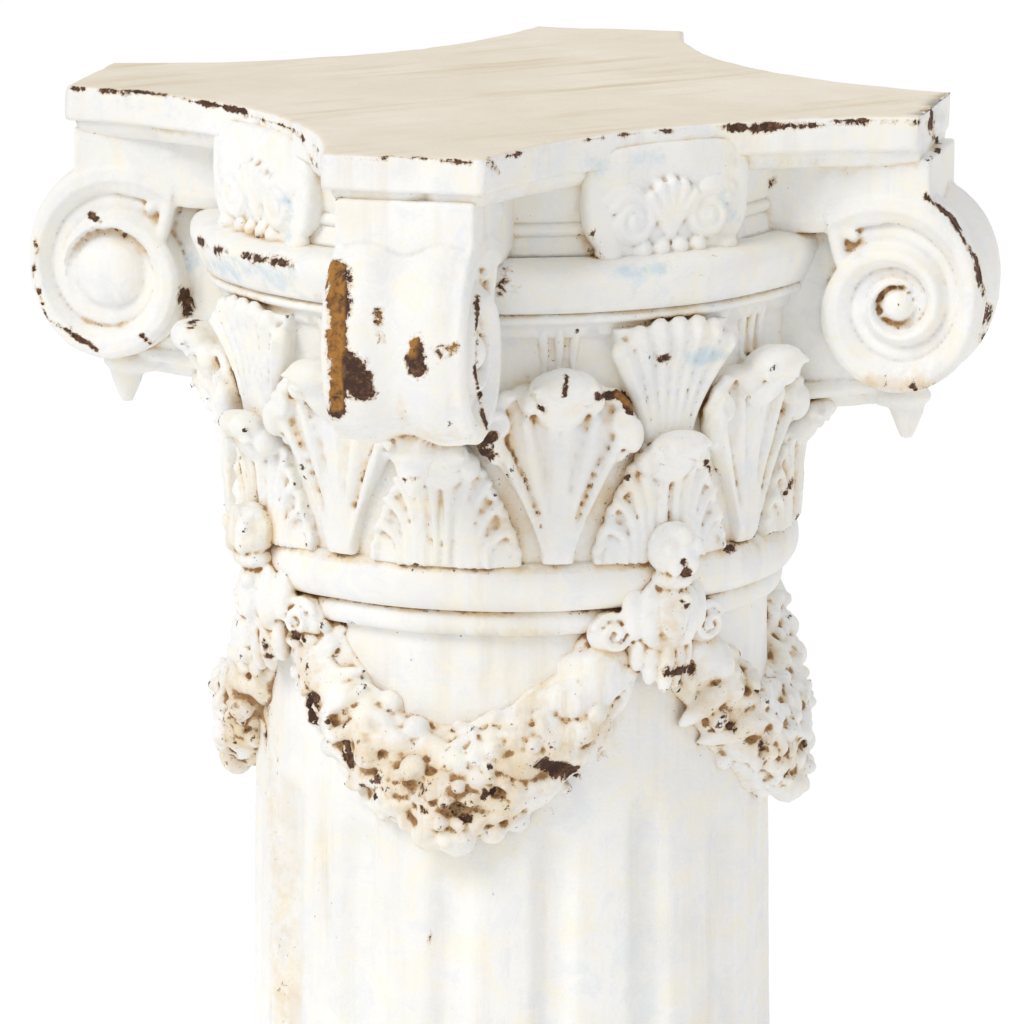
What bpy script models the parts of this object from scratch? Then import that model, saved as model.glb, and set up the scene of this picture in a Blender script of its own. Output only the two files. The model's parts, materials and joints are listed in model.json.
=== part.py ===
"""A decorative column: a cast pedestal column with a composite capital, painted white.

It is one casting: a square plinth and a moulded base, a fluted shaft, and a capital with two tiers
of leaves, four corner volutes, swags of fruit and flowers, and a square top with hollowed sides.
Metres, +Z up, with the middle of the underside at the origin. The four faces look along X and Y,
and the four corners lie on the diagonals.
"""
import math

import bmesh
import bpy
from mathutils import Vector

# The whole column
HEIGHT = 1.000
SHAFT_RADIUS = 0.120
SHAFT_FOOT_RADIUS = 0.128

# Heights of the capital's bands, from the top face down
FASCIA_HEIGHT = 0.017
UNDER_MOULDING_HEIGHT = 0.008
NECK_HEIGHT = 0.032
OVOLO_HEIGHT = 0.031
BELL_HEIGHT = 0.1106
TORUS_HEIGHT = 0.023
RING_HEIGHT = 0.0122

# How far each band stands proud of the shaft at its top
NECK_PROUD = 0.012
OVOLO_PROUD = 0.030
OVOLO_LOWER_EDGE = 0.007
BELL_TOP_PROUD = 0.014
BELL_FOOT_PROUD = 0.009
TORUS_PROUD = 0.015
RING_PROUD = 0.007

# The square top: hollowed sides and cut corners
CORNER_REACH = 0.206
CORNER_HALF_WIDTH = 0.0376
SIDE_REACH = 0.134
UNDER_MOULDING_STEP = 0.010

# Flutes
FLUTES = 16
FLUTE_WIDTH = 0.024
FLUTE_DEPTH = 0.005
FLUTE_TOP_GAP = 0.079
FLUTE_CORNER_DROP = 0.024
FLUTE_FOOT_GAP = 0.012
FLUTE_END = 0.012

# Base, from the floor up
PLINTH_SIDE = 0.330
PLINTH_HEIGHT = 0.055
LOWER_TORUS_HEIGHT = 0.036
LOWER_TORUS_PROUD = 0.031
SCOTIA_HEIGHT = 0.026
SCOTIA_PROUD = 0.010
UPPER_TORUS_HEIGHT = 0.022
UPPER_TORUS_PROUD = 0.018
BASE_FILLET = 0.004
FOOT_RING_HEIGHT = 0.008
FOOT_RING_PROUD = 0.005

# Corner volutes. The scroll's edge is this far from its eye at each quarter turn, starting
# straight up, then outward, down, inward and so on
SCROLL_RADII = (0.055, 0.0395, 0.0425, 0.036, 0.028, 0.022, 0.018)
SCROLL_START_TURN = -0.35
SCROLL_END_TURN = 5.7
SCROLL_THICKNESS = 0.066
SCROLL_RELIEF = 0.007
SCROLL_GROOVE = 0.0045
SCROLL_BAND = 0.008
SCROLL_BAND_END = 0.0045
SCROLL_DISC_CLEARANCE = 0.001
EYE_INSET = 0.018
EYE_DROP = 0.090
EYE_RADIUS = 0.012
EYE_EDGE = 0.004
STEM_SIDE_STEP = 0.004
STEM_ROOT_DEPTH = 0.034
STEM_MIDDLE_DEPTH = 0.030
STEM_END_DEPTH = 0.016
STEM_MIDDLE_BEHIND_EYE = 0.020
STEM_END_PAST_EYE = 0.009
SPIKE_LENGTH = 0.022
SPIKE_RADIUS = 0.009
WEB_HALF_WIDTH = 0.025
WEB_DEPTH = 0.054
WEB_OUTER_DEPTH = 0.050

# Blocks in the middle of each side of the top
FLEURON_WIDTH = 0.089
FLEURON_BOTTOM = 0.060
FLEURON_PROUD = 0.003
FLEURON_EDGE = 0.003
FLEURON_CURL_RADIUS = 0.0105
FLEURON_CURL_SPREAD = 0.040
FLEURON_CURL_RELIEF = 0.004
FLEURON_FAN_HALF_WIDTH = 0.009
FLEURON_FAN_FOOT_HALF_WIDTH = 0.004
FLEURON_FAN_HEIGHT = 0.025
FLEURON_FAN_SHOULDER = 0.020
FLEURON_FAN_TAIL = 0.012
FLEURON_FAN_RELIEF = 0.003

# Leaves
LEAF_PAIRS = 8
LEAF_STAND = 0.0075
LOW_LEAF_HALF_WIDTH = 0.037
LOW_LEAF_TIP_HALF_WIDTH = 0.015
LOW_LEAF_HEIGHT = 0.061
LOW_LEAF_REACH = 0.025
LOW_LEAF_CURL = 0.010
HIGH_LEAF_FOOT_HALF_WIDTH = 0.009
HIGH_LEAF_HALF_WIDTH = 0.032
HIGH_LEAF_TIP_HALF_WIDTH = 0.018
HIGH_LEAF_WIDEST = 0.72
HIGH_LEAF_HEIGHT = 0.093
HIGH_LEAF_REACH = 0.030
HIGH_LEAF_CURL = 0.012
FAN_HALF_WIDTH = 0.030
FAN_FOOT_HALF_WIDTH = 0.012
FAN_HEIGHT = 0.070
FAN_FLARE = 0.006
LEAF_RIB = 0.003
LEAF_LOBE = 0.22

# Bell-flower pendants and the curls beside them
PENDANT_STAND = 0.013
BUD_RADIUS = 0.012
BUD_STAND = 0.008
BELL_FLOWER_RADIUS = 0.020
BELL_FLOWER_LENGTH = 0.056
BELL_FLOWER_NOTCH = 0.15
CURL_RADIUS = 0.010
CURL_ANGLE = math.radians(10)
CURL_PROUD = 0.008

# Swags
SWAG_SAG = 0.058
SWAG_END_DROP = 0.012
SWAG_HALF_HEIGHT = 0.030
SWAG_END_HALF_HEIGHT = 0.018
SWAG_PROUD = 0.027
SWAG_END_PROUD = 0.015
SWAG_LUMP = 0.09
SWAG_FLOWER_RADIUS = 0.013

# How finely round forms are faceted, and how deep one form is sunk into the next
ROUND_SIDES = 28
SMALL_SIDES = 6
BURY = 0.006
FLAT_ENOUGH = math.radians(5)

# Levels that the bands above come to
FASCIA_BOTTOM = HEIGHT - FASCIA_HEIGHT
TOP_UNDERSIDE = FASCIA_BOTTOM - UNDER_MOULDING_HEIGHT
NECK_BOTTOM = TOP_UNDERSIDE - NECK_HEIGHT
OVOLO_BOTTOM = NECK_BOTTOM - OVOLO_HEIGHT
BELL_BOTTOM = OVOLO_BOTTOM - BELL_HEIGHT
TORUS_BOTTOM = BELL_BOTTOM - TORUS_HEIGHT
RING_BOTTOM = TORUS_BOTTOM - RING_HEIGHT
LOWER_TORUS_TOP = PLINTH_HEIGHT + LOWER_TORUS_HEIGHT
SCOTIA_BOTTOM = LOWER_TORUS_TOP + BASE_FILLET
SCOTIA_TOP = SCOTIA_BOTTOM + SCOTIA_HEIGHT
UPPER_TORUS_BOTTOM = SCOTIA_TOP + BASE_FILLET
UPPER_TORUS_TOP = UPPER_TORUS_BOTTOM + UPPER_TORUS_HEIGHT
BASE_TOP = UPPER_TORUS_TOP + FOOT_RING_HEIGHT

FACE_ANGLES = [k * math.pi / 2 for k in range(4)]
CORNER_ANGLES = [angle + math.pi / 4 for angle in FACE_ANGLES]
NECK_RADIUS = SHAFT_RADIUS + NECK_PROUD
OVOLO_RADIUS = SHAFT_RADIUS + OVOLO_PROUD


def clear_scene():
    """Removes whatever the file opened with."""
    for thing in list(bpy.data.objects):
        bpy.data.objects.remove(thing, do_unlink=True)


def at(angle, radius, z, across=0.0):
    """A point from its direction, its distance from the axis, its height and its sideways place."""
    along = Vector((math.cos(angle), math.sin(angle), 0))
    side = Vector((-math.sin(angle), math.cos(angle), 0))
    return along * radius + side * across + Vector((0, 0, z))


def blend(low, high, share):
    """A value between two others."""
    return low + (high - low) * share


def circle(radius):
    """Corners of a small round form, as pairs of distances from its middle."""
    turn = 2 * math.pi / SMALL_SIDES
    return [(radius * math.cos(k * turn), radius * math.sin(k * turn)) for k in range(SMALL_SIDES)]


def painted():
    """The white paint, a little glossy with age."""
    paint = bpy.data.materials.new("old_white_paint")
    paint.use_nodes = True
    shader = paint.node_tree.nodes["Principled BSDF"]
    shader.inputs["Base Color"].default_value = (0.86, 0.83, 0.76, 1.0)
    shader.inputs["Roughness"].default_value = 0.55
    shader.inputs["Metallic"].default_value = 0.0
    return paint


def skinned(name, rings):
    """One closed mesh over a row of rings of points, with both ends filled."""
    shape = bmesh.new()
    rows = [[shape.verts.new(point) for point in ring] for ring in rings]
    for low, high in zip(rows, rows[1:]):
        for i in range(len(low)):
            j = (i + 1) % len(low)
            shape.faces.new((low[i], low[j], high[j], high[i]))
    shape.faces.new(rows[0])
    shape.faces.new(rows[-1])
    bmesh.ops.recalc_face_normals(shape, faces=shape.faces[:])
    bmesh.ops.triangulate(shape, faces=shape.faces[:], ngon_method="EAR_CLIP")
    mesh = bpy.data.meshes.new(name)
    shape.to_mesh(mesh)
    shape.free()
    return mesh


def helper(name, rings, group):
    """A hidden solid that the casting takes in."""
    thing = bpy.data.objects.new(name, skinned(name, rings))
    thing.hide_render = True
    thing.display_type = "WIRE"
    group.objects.link(thing)


def turned(profile):
    """Round rings from a profile of distances from the axis and heights."""
    turn = 2 * math.pi / ROUND_SIDES
    return [[at(k * turn, radius, z) for k in range(ROUND_SIDES)] for radius, z in profile]


def round_band(radius, bulge, top, bottom, steps):
    """Profile of a rounded moulding that bulges from a radius between two heights."""
    middle = (top + bottom) / 2
    half = (top - bottom) / 2
    angles = [math.pi / 2 - math.pi * k / steps for k in range(steps + 1)]
    return [(radius + bulge * math.cos(a), middle + half * math.sin(a)) for a in angles]


def bell_radius(z):
    """Radius of the bell behind the leaves at a height."""
    share = (z - BELL_BOTTOM) / (OVOLO_BOTTOM - BELL_BOTTOM)
    share = min(max(share, 0.0), 1.0)
    return SHAFT_RADIUS + blend(BELL_FOOT_PROUD, BELL_TOP_PROUD, share)


def shaft_radius(z):
    """Radius of the shaft, which swells a little towards its foot."""
    share = (RING_BOTTOM - z) / (RING_BOTTOM - BASE_TOP)
    share = min(max(share, 0.0), 1.0)
    return blend(SHAFT_RADIUS, SHAFT_FOOT_RADIUS, share)


# The turned core of the capital
def capital_core(group):
    """Neck, ovolo, bell, torus and ring, from inside the top to inside the shaft."""
    lower_edge = OVOLO_RADIUS - OVOLO_LOWER_EDGE
    profile = [(NECK_RADIUS, FASCIA_BOTTOM), (NECK_RADIUS, NECK_BOTTOM)]
    for share_out, share_up in ((0.6, 1.0), (1.0, 0.72), (0.95, 0.4)):
        profile.append((blend(NECK_RADIUS, OVOLO_RADIUS, share_out),
                        blend(OVOLO_BOTTOM, NECK_BOTTOM, share_up)))
    profile.append((lower_edge, OVOLO_BOTTOM))
    profile.append((bell_radius(OVOLO_BOTTOM), OVOLO_BOTTOM))
    profile.append((bell_radius(BELL_BOTTOM), BELL_BOTTOM))
    profile += round_band(SHAFT_RADIUS + TORUS_PROUD / 3, TORUS_PROUD * 2 / 3, BELL_BOTTOM,
                          TORUS_BOTTOM, 4)[1:]
    profile += round_band(SHAFT_RADIUS + RING_PROUD / 3, RING_PROUD * 2 / 3, TORUS_BOTTOM,
                          RING_BOTTOM, 3)[1:]
    profile.append((SHAFT_RADIUS - BURY, RING_BOTTOM - BURY))
    helper("capital_core", turned(profile), group)


# The square top
def top_outline(inset):
    """The top's outline, drawn in by an inset: four hollow sides and four cut corners."""
    diagonal = Vector((math.sqrt(0.5), math.sqrt(0.5)))
    along = Vector((math.sqrt(0.5), -math.sqrt(0.5)))
    corner = diagonal * CORNER_REACH + along * CORNER_HALF_WIDTH
    sag = corner.x - SIDE_REACH
    sweep = (corner.y ** 2 + sag ** 2) / (2 * sag)
    centre = Vector((SIDE_REACH + sweep, 0))
    start = diagonal * (CORNER_REACH - inset) - centre
    half = start.dot(along)
    reach = sweep + inset
    shift = -half - math.sqrt(half ** 2 - start.dot(start) + reach ** 2)
    end = start + along * shift
    spread = math.atan2(end.y, -end.x)
    steps = 6
    side = []
    for k in range(steps + 1):
        a = blend(-spread, spread, k / steps)
        side.append((centre.x - reach * math.cos(a), reach * math.sin(a)))
    points = []
    for angle in FACE_ANGLES:
        points += [at(angle, x, 0, y) for x, y in side]
    return points


def square_top(group):
    """The slab with its plain edge and the small moulding under it."""
    levels = [(0.0, HEIGHT), (0.0, FASCIA_BOTTOM), (UNDER_MOULDING_STEP * 0.45, FASCIA_BOTTOM),
              (UNDER_MOULDING_STEP, TOP_UNDERSIDE)]
    rings = [[p + Vector((0, 0, z)) for p in top_outline(inset)] for inset, z in levels]
    helper("square_top", rings, group)


# Corner volutes
def scroll_point(turn, depth):
    """Distance from the axis and height of a point a little inside the scroll's edge."""
    k = min(max(math.floor(turn), 0), len(SCROLL_RADII) - 2)
    radius = blend(SCROLL_RADII[k], SCROLL_RADII[k + 1], turn - k) - depth
    a = math.pi / 2 * (1 - turn)
    return CORNER_REACH - EYE_INSET + radius * math.cos(a), HEIGHT - EYE_DROP + radius * math.sin(a)


def volute(corner, angle, group):
    """One scroll: a disc, the band that winds over it, its eye and the stem that carries it."""
    half = SCROLL_THICKNESS / 2
    face = half - SCROLL_RELIEF
    turns = [k / 3 for k in range(12)]
    edge = [scroll_point(turn, SCROLL_GROOVE + SCROLL_DISC_CLEARANCE) for turn in turns]
    disc = [[at(angle, r, z, across) for r, z in edge] for across in (-face, face)]
    helper(f"scroll_disc_{corner}", disc, group)
    steps = 14
    rings = []
    for k in range(steps + 1):
        turn = blend(SCROLL_START_TURN, SCROLL_END_TURN, k / steps)
        band = blend(SCROLL_BAND, SCROLL_BAND_END, k / steps)
        ring = []
        groove = min(SCROLL_GROOVE, band / 2)
        for across, depth in ((-1, groove / 3), (-0.5, 0), (0, groove), (0.5, 0), (1, groove / 3),
                              (1, band), (-1, band)):
            r, z = scroll_point(turn, depth)
            ring.append(at(angle, r, z, across * half))
        rings.append(ring)
    helper(f"scroll_band_{corner}", rings, group)
    centre_r = CORNER_REACH - EYE_INSET
    centre_z = HEIGHT - EYE_DROP
    rings = []
    for across, share in ((-half, 0.6), (-half + EYE_EDGE, 1), (half - EYE_EDGE, 1), (half, 0.6)):
        rings.append([at(angle, centre_r + y, centre_z + z, across) for y, z in circle(EYE_RADIUS * share)])
    helper(f"scroll_eye_{corner}", rings, group)
    stem = half - STEM_SIDE_STEP
    top = TOP_UNDERSIDE + BURY
    rings = []
    for radius, depth in ((NECK_RADIUS - BURY, STEM_ROOT_DEPTH),
                          (centre_r - STEM_MIDDLE_BEHIND_EYE, STEM_MIDDLE_DEPTH),
                          (centre_r + STEM_END_PAST_EYE, STEM_END_DEPTH)):
        low = TOP_UNDERSIDE - depth
        rings.append([at(angle, radius, low, -stem), at(angle, radius, low, stem),
                      at(angle, radius, top, stem), at(angle, radius, top, -stem)])
    helper(f"scroll_stem_{corner}", rings, group)


def web(corner, angle, group):
    """The leaf that reaches out from the bell under a volute, and its hanging tip."""
    eye_r = CORNER_REACH - EYE_INSET
    eye_z = HEIGHT - EYE_DROP
    inner = bell_radius(OVOLO_BOTTOM) - BURY * 2
    rings = []
    for share, slim in ((0.0, 1.0), (0.35, 0.9), (0.7, 0.7), (1.0, 0.4)):
        radius = blend(inner, eye_r + SPIKE_RADIUS, share)
        low = eye_z - blend(WEB_DEPTH, WEB_OUTER_DEPTH, math.sin(share * math.pi / 2))
        high = blend(TOP_UNDERSIDE - BURY * 2, eye_z + SCROLL_RADII[3], share)
        wide = WEB_HALF_WIDTH * slim
        rings.append([at(angle, radius, high, -wide * 0.8), at(angle, radius, low + BURY, -wide * 0.6),
                      at(angle, radius, low, 0.0), at(angle, radius, low + BURY, wide * 0.6),
                      at(angle, radius, high, wide * 0.8)])
    helper(f"web_{corner}", rings, group)
    rings = []
    for size, level in ((1.0, eye_z - WEB_OUTER_DEPTH + SPIKE_RADIUS * 2),
                        (0.9, eye_z - WEB_OUTER_DEPTH + SPIKE_RADIUS * 0.5),
                        (0.12, eye_z - WEB_OUTER_DEPTH - SPIKE_LENGTH)):
        rings.append([at(angle, eye_r + y, level, across) for y, across in circle(SPIKE_RADIUS * size)])
    helper(f"spike_{corner}", rings, group)


# Blocks in the middle of the sides
def fleuron(face, angle, group):
    """A block under the top's edge with two small curls and a fan between them."""
    half = FLEURON_WIDTH / 2
    front = SIDE_REACH + FLEURON_PROUD
    back = NECK_RADIUS - BURY * 3
    bottom = HEIGHT - FLEURON_BOTTOM
    outline = [(-half, FASCIA_BOTTOM + BURY), (-half, blend(bottom, FASCIA_BOTTOM, 0.45)),
               (-half * 0.75, bottom), (half * 0.75, bottom),
               (half, blend(bottom, FASCIA_BOTTOM, 0.45)), (half, FASCIA_BOTTOM + BURY)]
    rings = []
    for radius, share in ((back, 1.0), (front - FLEURON_EDGE, 1.0), (front, 0.95)):
        rings.append([at(angle, radius, z, y * share) for y, z in outline])
    helper(f"fleuron_{face}", rings, group)
    curl_z = bottom + FLEURON_CURL_RADIUS * 1.45
    for hand in (-1, 1):
        rings = []
        for radius, share in ((back, 1.0), (front + FLEURON_CURL_RELIEF * 0.6, 1.0),
                              (front + FLEURON_CURL_RELIEF, 0.55)):
            middle = hand * FLEURON_CURL_SPREAD / 2
            rings.append([at(angle, radius, curl_z + z, middle + y)
                          for y, z in circle(FLEURON_CURL_RADIUS * share)])
        helper(f"fleuron_curl_{face}_{hand + 1}", rings, group)
    fan_outline = [(-FLEURON_FAN_FOOT_HALF_WIDTH, 0.0), (-FLEURON_FAN_HALF_WIDTH, FLEURON_FAN_SHOULDER),
                   (0.0, FLEURON_FAN_HEIGHT), (FLEURON_FAN_HALF_WIDTH, FLEURON_FAN_SHOULDER),
                   (FLEURON_FAN_FOOT_HALF_WIDTH, 0.0), (0.0, -FLEURON_FAN_TAIL)]
    rings = []
    for radius, share in ((back, 1.0), (front + FLEURON_FAN_RELIEF, 0.85)):
        rings.append([at(angle, radius, curl_z + z * share, y * share) for y, z in fan_outline])
    helper(f"fleuron_fan_{face}", rings, group)


# Leaves
def leaf(name, angle, height, reach, curl, widths, group):
    """A leaf that climbs the bell and curls outward at its tip."""
    foot = BELL_BOTTOM - BURY / 3
    tip = BELL_BOTTOM + height
    neck = tip - curl
    climb = 4
    rings = []
    for k in range(climb + 1):
        share = 1 - (1 - k / climb) ** 1.3
        z = blend(foot, neck, share)
        stand = blend(LEAF_STAND, max(reach - 2 * curl, LEAF_STAND), share ** 2)
        back = (bell_radius(z) - BURY, z)
        rings.append(leaf_ring(angle, (bell_radius(z) + stand, z), back, widths(share), k % 2))
    helper(name, rings, group)
    centre = bell_radius(neck) + reach - curl
    root = bell_radius(neck) - BURY
    hook = [(root, tip - curl * 0.3), (centre, tip), (centre + curl, neck + curl * 0.3),
            (centre + curl * 0.9, neck - curl * 0.7), (root, neck - curl * 0.5)]
    rings = []
    for across in (-1, -0.5, 0.5, 1):
        size = math.sqrt(1 - 0.8 * across ** 2)
        rings.append([at(angle, blend(root, r, size), blend(neck - curl * 0.3, z, size),
                         across * widths(1)) for r, z in hook])
    helper(f"{name}_tip", rings, group)


def leaf_ring(angle, front, back, half, lobe):
    """One section of a leaf: rib in the middle, hollow beside it, edges drawn back to the bell."""
    ring = []
    for share, fall in ((-1, LEAF_STAND * 0.7), (-0.5, LEAF_RIB), (0, 0), (0.5, LEAF_RIB),
                        (1, LEAF_STAND * 0.7)):
        turn = angle + share * half * (1 - LEAF_LOBE * lobe * abs(share)) / front[0]
        ring.append(at(turn, front[0] - fall, front[1]))
    ring.append(at(angle, back[0], back[1]))
    return ring


def low_leaf_width(share):
    """Half width of a low leaf: widest near its foot, narrow where it curls."""
    return blend(LOW_LEAF_HALF_WIDTH, LOW_LEAF_TIP_HALF_WIDTH, share ** 1.6)


def high_leaf_width(share):
    """Half width of a high leaf: narrow at its foot, fanning out, then drawn in under the curl."""
    opening = min(share / HIGH_LEAF_WIDEST, 1.0)
    closing = max(0.0, share - HIGH_LEAF_WIDEST) / (1 - HIGH_LEAF_WIDEST)
    wide = blend(HIGH_LEAF_FOOT_HALF_WIDTH, HIGH_LEAF_HALF_WIDTH, math.sin(opening * math.pi / 2))
    return blend(wide, HIGH_LEAF_TIP_HALF_WIDTH, closing)


def fan(name, angle, group):
    """The ribbed fan behind a low leaf in the middle of a face, reaching the ovolo."""
    low = OVOLO_BOTTOM - FAN_HEIGHT
    high = OVOLO_BOTTOM + OVOLO_HEIGHT * 0.08
    rings = []
    for k in range(3):
        share = k / 2
        z = blend(low, high, share)
        front = bell_radius(z) + LEAF_STAND + FAN_FLARE * share ** 2
        half = blend(FAN_FOOT_HALF_WIDTH, FAN_HALF_WIDTH, share ** 0.8)
        rings.append(leaf_ring(angle, (front, z), (bell_radius(z) - BURY, z), half, 0))
    helper(name, rings, group)


def leaves(group):
    """Eight low leaves on the faces and corners, eight high ones between, and four fans."""
    step = 2 * math.pi / LEAF_PAIRS
    for k in range(LEAF_PAIRS):
        leaf(f"low_leaf_{k}", k * step, LOW_LEAF_HEIGHT, LOW_LEAF_REACH, LOW_LEAF_CURL,
             low_leaf_width, group)
        leaf(f"high_leaf_{k}", (k + 0.5) * step, HIGH_LEAF_HEIGHT, HIGH_LEAF_REACH, HIGH_LEAF_CURL,
             high_leaf_width, group)
    for face, angle in enumerate(FACE_ANGLES):
        fan(f"fan_{face}", angle, group)


# Pendants, curls and swags
def pendant(face, angle, group):
    """A bud over the torus with a bell flower hanging under it."""
    bud_r = SHAFT_RADIUS + TORUS_PROUD + BUD_STAND
    flower_r = SHAFT_RADIUS + PENDANT_STAND
    bud_z = BELL_BOTTOM + BUD_RADIUS * 0.4
    flower_z = bud_z - BUD_RADIUS
    profile = [(bud_r, bud_z + BUD_RADIUS, BUD_RADIUS * 0.3), (bud_r, bud_z + BUD_RADIUS * 0.45, BUD_RADIUS),
               (bud_r, bud_z - BUD_RADIUS * 0.5, BUD_RADIUS), (bud_r, flower_z, BUD_RADIUS * 0.6)]
    for share, size in ((0.22, 0.85), (0.5, 1.0), (0.95, 0.8), (1.0, 0.3)):
        profile.append((blend(bud_r, flower_r, min(share * 2, 1)), flower_z - BELL_FLOWER_LENGTH * share,
                        BELL_FLOWER_RADIUS * size))
    rings = []
    for row, (centre, z, size) in enumerate(profile):
        ring = []
        for k, (out, across) in enumerate(circle(size)):
            petal = 1.0 - BELL_FLOWER_NOTCH * (k % 2) * (row > 4)
            ring.append(at(angle, centre + out * petal, z, across * petal))
        rings.append(ring)
    helper(f"pendant_{face}", rings, group)
    z = RING_BOTTOM
    for hand in (-1, 1):
        turn = angle + hand * CURL_ANGLE
        rings = []
        for proud, share in ((-BURY, 1.0), (RING_PROUD + CURL_PROUD * 0.6, 1.0),
                             (RING_PROUD + CURL_PROUD, 0.5)):
            rings.append([at(turn, SHAFT_RADIUS + proud, z + up, across)
                          for across, up in circle(CURL_RADIUS * share)])
        helper(f"curl_{face}_{hand + 1}", rings, group)


def swag_point(share):
    """Height of the swag's middle line, with the share running from -1 to 1 along it."""
    end = RING_BOTTOM - SWAG_END_DROP
    return end - SWAG_SAG * (1 - abs(share) ** 1.8)


def swag(corner, angle, group):
    """A garland that hangs between two pendants, fullest in the middle, lumpy with fruit."""
    span = math.pi / 4 - CURL_ANGLE
    steps = 10
    rings = []
    for k in range(steps + 1):
        share = 2 * k / steps - 1
        full = 1 - abs(share) ** 1.5
        tall = blend(SWAG_END_HALF_HEIGHT, SWAG_HALF_HEIGHT, full)
        proud = blend(SWAG_END_PROUD, SWAG_PROUD, full)
        z = swag_point(share)
        slope = math.atan2(swag_point(share + 0.01) - swag_point(share - 0.01), 0.02 * span * SHAFT_RADIUS)
        ring = []
        for j, (out, up) in enumerate(circle(1.0)):
            lump = 1 + SWAG_LUMP * (-1) ** (k + j % 3)
            up *= tall * lump
            out *= proud * lump
            turn = angle + share * span - up * math.sin(slope) / (SHAFT_RADIUS + proud)
            radius = shaft_radius(z) - BURY + max(out + BURY, -BURY)
            ring.append(at(turn, radius, z + up * math.cos(slope)))
        rings.append(ring)
    helper(f"swag_{corner}", rings, group)
    z = swag_point(0) - SWAG_HALF_HEIGHT * 0.45
    rings = []
    for proud, share in ((0.0, 1.0), (SWAG_PROUD * 0.95, 1.0), (SWAG_PROUD * 1.08, 0.45)):
        ring = []
        for k in range(10):
            size = SWAG_FLOWER_RADIUS * share * (1.0 if k % 2 else 0.72)
            a = k * math.pi / 5
            ring.append(at(angle, SHAFT_RADIUS + proud, z + size * math.sin(a), size * math.cos(a)))
        rings.append(ring)
    helper(f"swag_flower_{corner}", rings, group)


# Shaft and base
def fluted_shaft():
    """The shaft: plain at its top, then flutes with rounded ends down to the foot."""
    step = 2 * math.pi / FLUTES
    edge = FLUTE_WIDTH / SHAFT_RADIUS / 2
    spots = ((-edge, 0.0), (-edge * 0.35, 1.0), (edge * 0.35, 1.0), (edge, 0.0))
    top_flat = RING_BOTTOM - FLUTE_TOP_GAP
    foot = BASE_TOP + FLUTE_FOOT_GAP

    def ring(height, depth, narrow):
        points = []
        for flute in range(FLUTES):
            for turn, share in spots:
                z = height(flute * step)
                radius = shaft_radius(z) - FLUTE_DEPTH * share * depth
                points.append(at(flute * step + turn * narrow, radius, z))
        return points

    def flute_top(angle):
        return top_flat - FLUTE_CORNER_DROP * (1 - math.cos(4 * angle)) / 2

    rings = [ring(lambda angle: RING_BOTTOM + BURY, 0, 1),
             ring(flute_top, 0, 0.45),
             ring(lambda angle: flute_top(angle) - FLUTE_END, 1, 1),
             ring(lambda angle: foot + FLUTE_END, 1, 1),
             ring(lambda angle: foot, 0, 0.45),
             ring(lambda angle: BASE_TOP - FOOT_RING_HEIGHT, 0, 1)]
    return skinned("column", rings)


def moulded_base(group):
    """Two tori with a hollow between them on a square plinth."""
    radius = SHAFT_FOOT_RADIUS
    profile = [(radius - BURY, BASE_TOP + BURY), (radius, BASE_TOP)]
    profile += round_band(radius, FOOT_RING_PROUD, BASE_TOP, UPPER_TORUS_TOP, 2)[1:]
    profile += round_band(radius + UPPER_TORUS_PROUD / 3, UPPER_TORUS_PROUD * 2 / 3, UPPER_TORUS_TOP,
                          UPPER_TORUS_BOTTOM, 4)[1:]
    lip = radius + SCOTIA_PROUD + SCOTIA_HEIGHT * 0.2
    profile += [(lip, UPPER_TORUS_BOTTOM), (lip, SCOTIA_TOP)]
    profile += [(radius + SCOTIA_PROUD, blend(SCOTIA_TOP, SCOTIA_BOTTOM, 0.4)),
                (radius + SCOTIA_PROUD * 1.6, blend(SCOTIA_TOP, SCOTIA_BOTTOM, 0.75))]
    foot = radius + LOWER_TORUS_PROUD * 0.8
    profile += [(foot, SCOTIA_BOTTOM), (foot, LOWER_TORUS_TOP)]
    profile += round_band(radius + LOWER_TORUS_PROUD * 0.4, LOWER_TORUS_PROUD * 0.6, LOWER_TORUS_TOP,
                          PLINTH_HEIGHT, 5)[1:]
    profile.append((radius - BURY, PLINTH_HEIGHT - BURY))
    helper("moulded_base", turned(profile), group)
    half = PLINTH_SIDE / 2
    square = [(-half, -half), (half, -half), (half, half), (-half, half)]
    rings = [[Vector((x, y, z)) for x, y in square] for z in (0.0, PLINTH_HEIGHT)]
    helper("plinth", rings, group)


def build():
    """Makes the casting: the shaft joined with everything that stands on it or out of it."""
    clear_scene()
    group = bpy.data.collections.new("carving")
    bpy.context.scene.collection.children.link(group)
    capital_core(group)
    square_top(group)
    for corner, angle in enumerate(CORNER_ANGLES):
        volute(corner, angle, group)
        web(corner, angle, group)
        swag(corner, angle, group)
    for face, angle in enumerate(FACE_ANGLES):
        fleuron(face, angle, group)
        pendant(face, angle, group)
    leaves(group)
    moulded_base(group)
    column = bpy.data.objects.new("column", fluted_shaft())
    bpy.context.scene.collection.objects.link(column)
    column.data.materials.append(painted())
    join = column.modifiers.new("join", "BOOLEAN")
    join.operation = "UNION"
    join.solver = "EXACT"
    join.operand_type = "COLLECTION"
    join.collection = group
    flatten = column.modifiers.new("flatten", "DECIMATE")
    flatten.decimate_type = "DISSOLVE"
    flatten.angle_limit = FLAT_ENOUGH


build()
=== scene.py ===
# %% [markdown]
# # A cast column with a composite capital
# This lesson dresses a garden pedestal column: one casting with a fluted shaft, two tiers of
# leaves, four corner volutes and swags of fruit, under many coats of old white paint. The plain
# solid is loaded first as the frame. Everything here is built round it, in metres, with the
# middle of the underside at the origin and the four faces looking along X and Y.

# %% Load the frame
import json
import math

import bmesh
import bpy
import numpy as np
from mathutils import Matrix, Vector, noise
from mathutils.bvhtree import BVHTree

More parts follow.
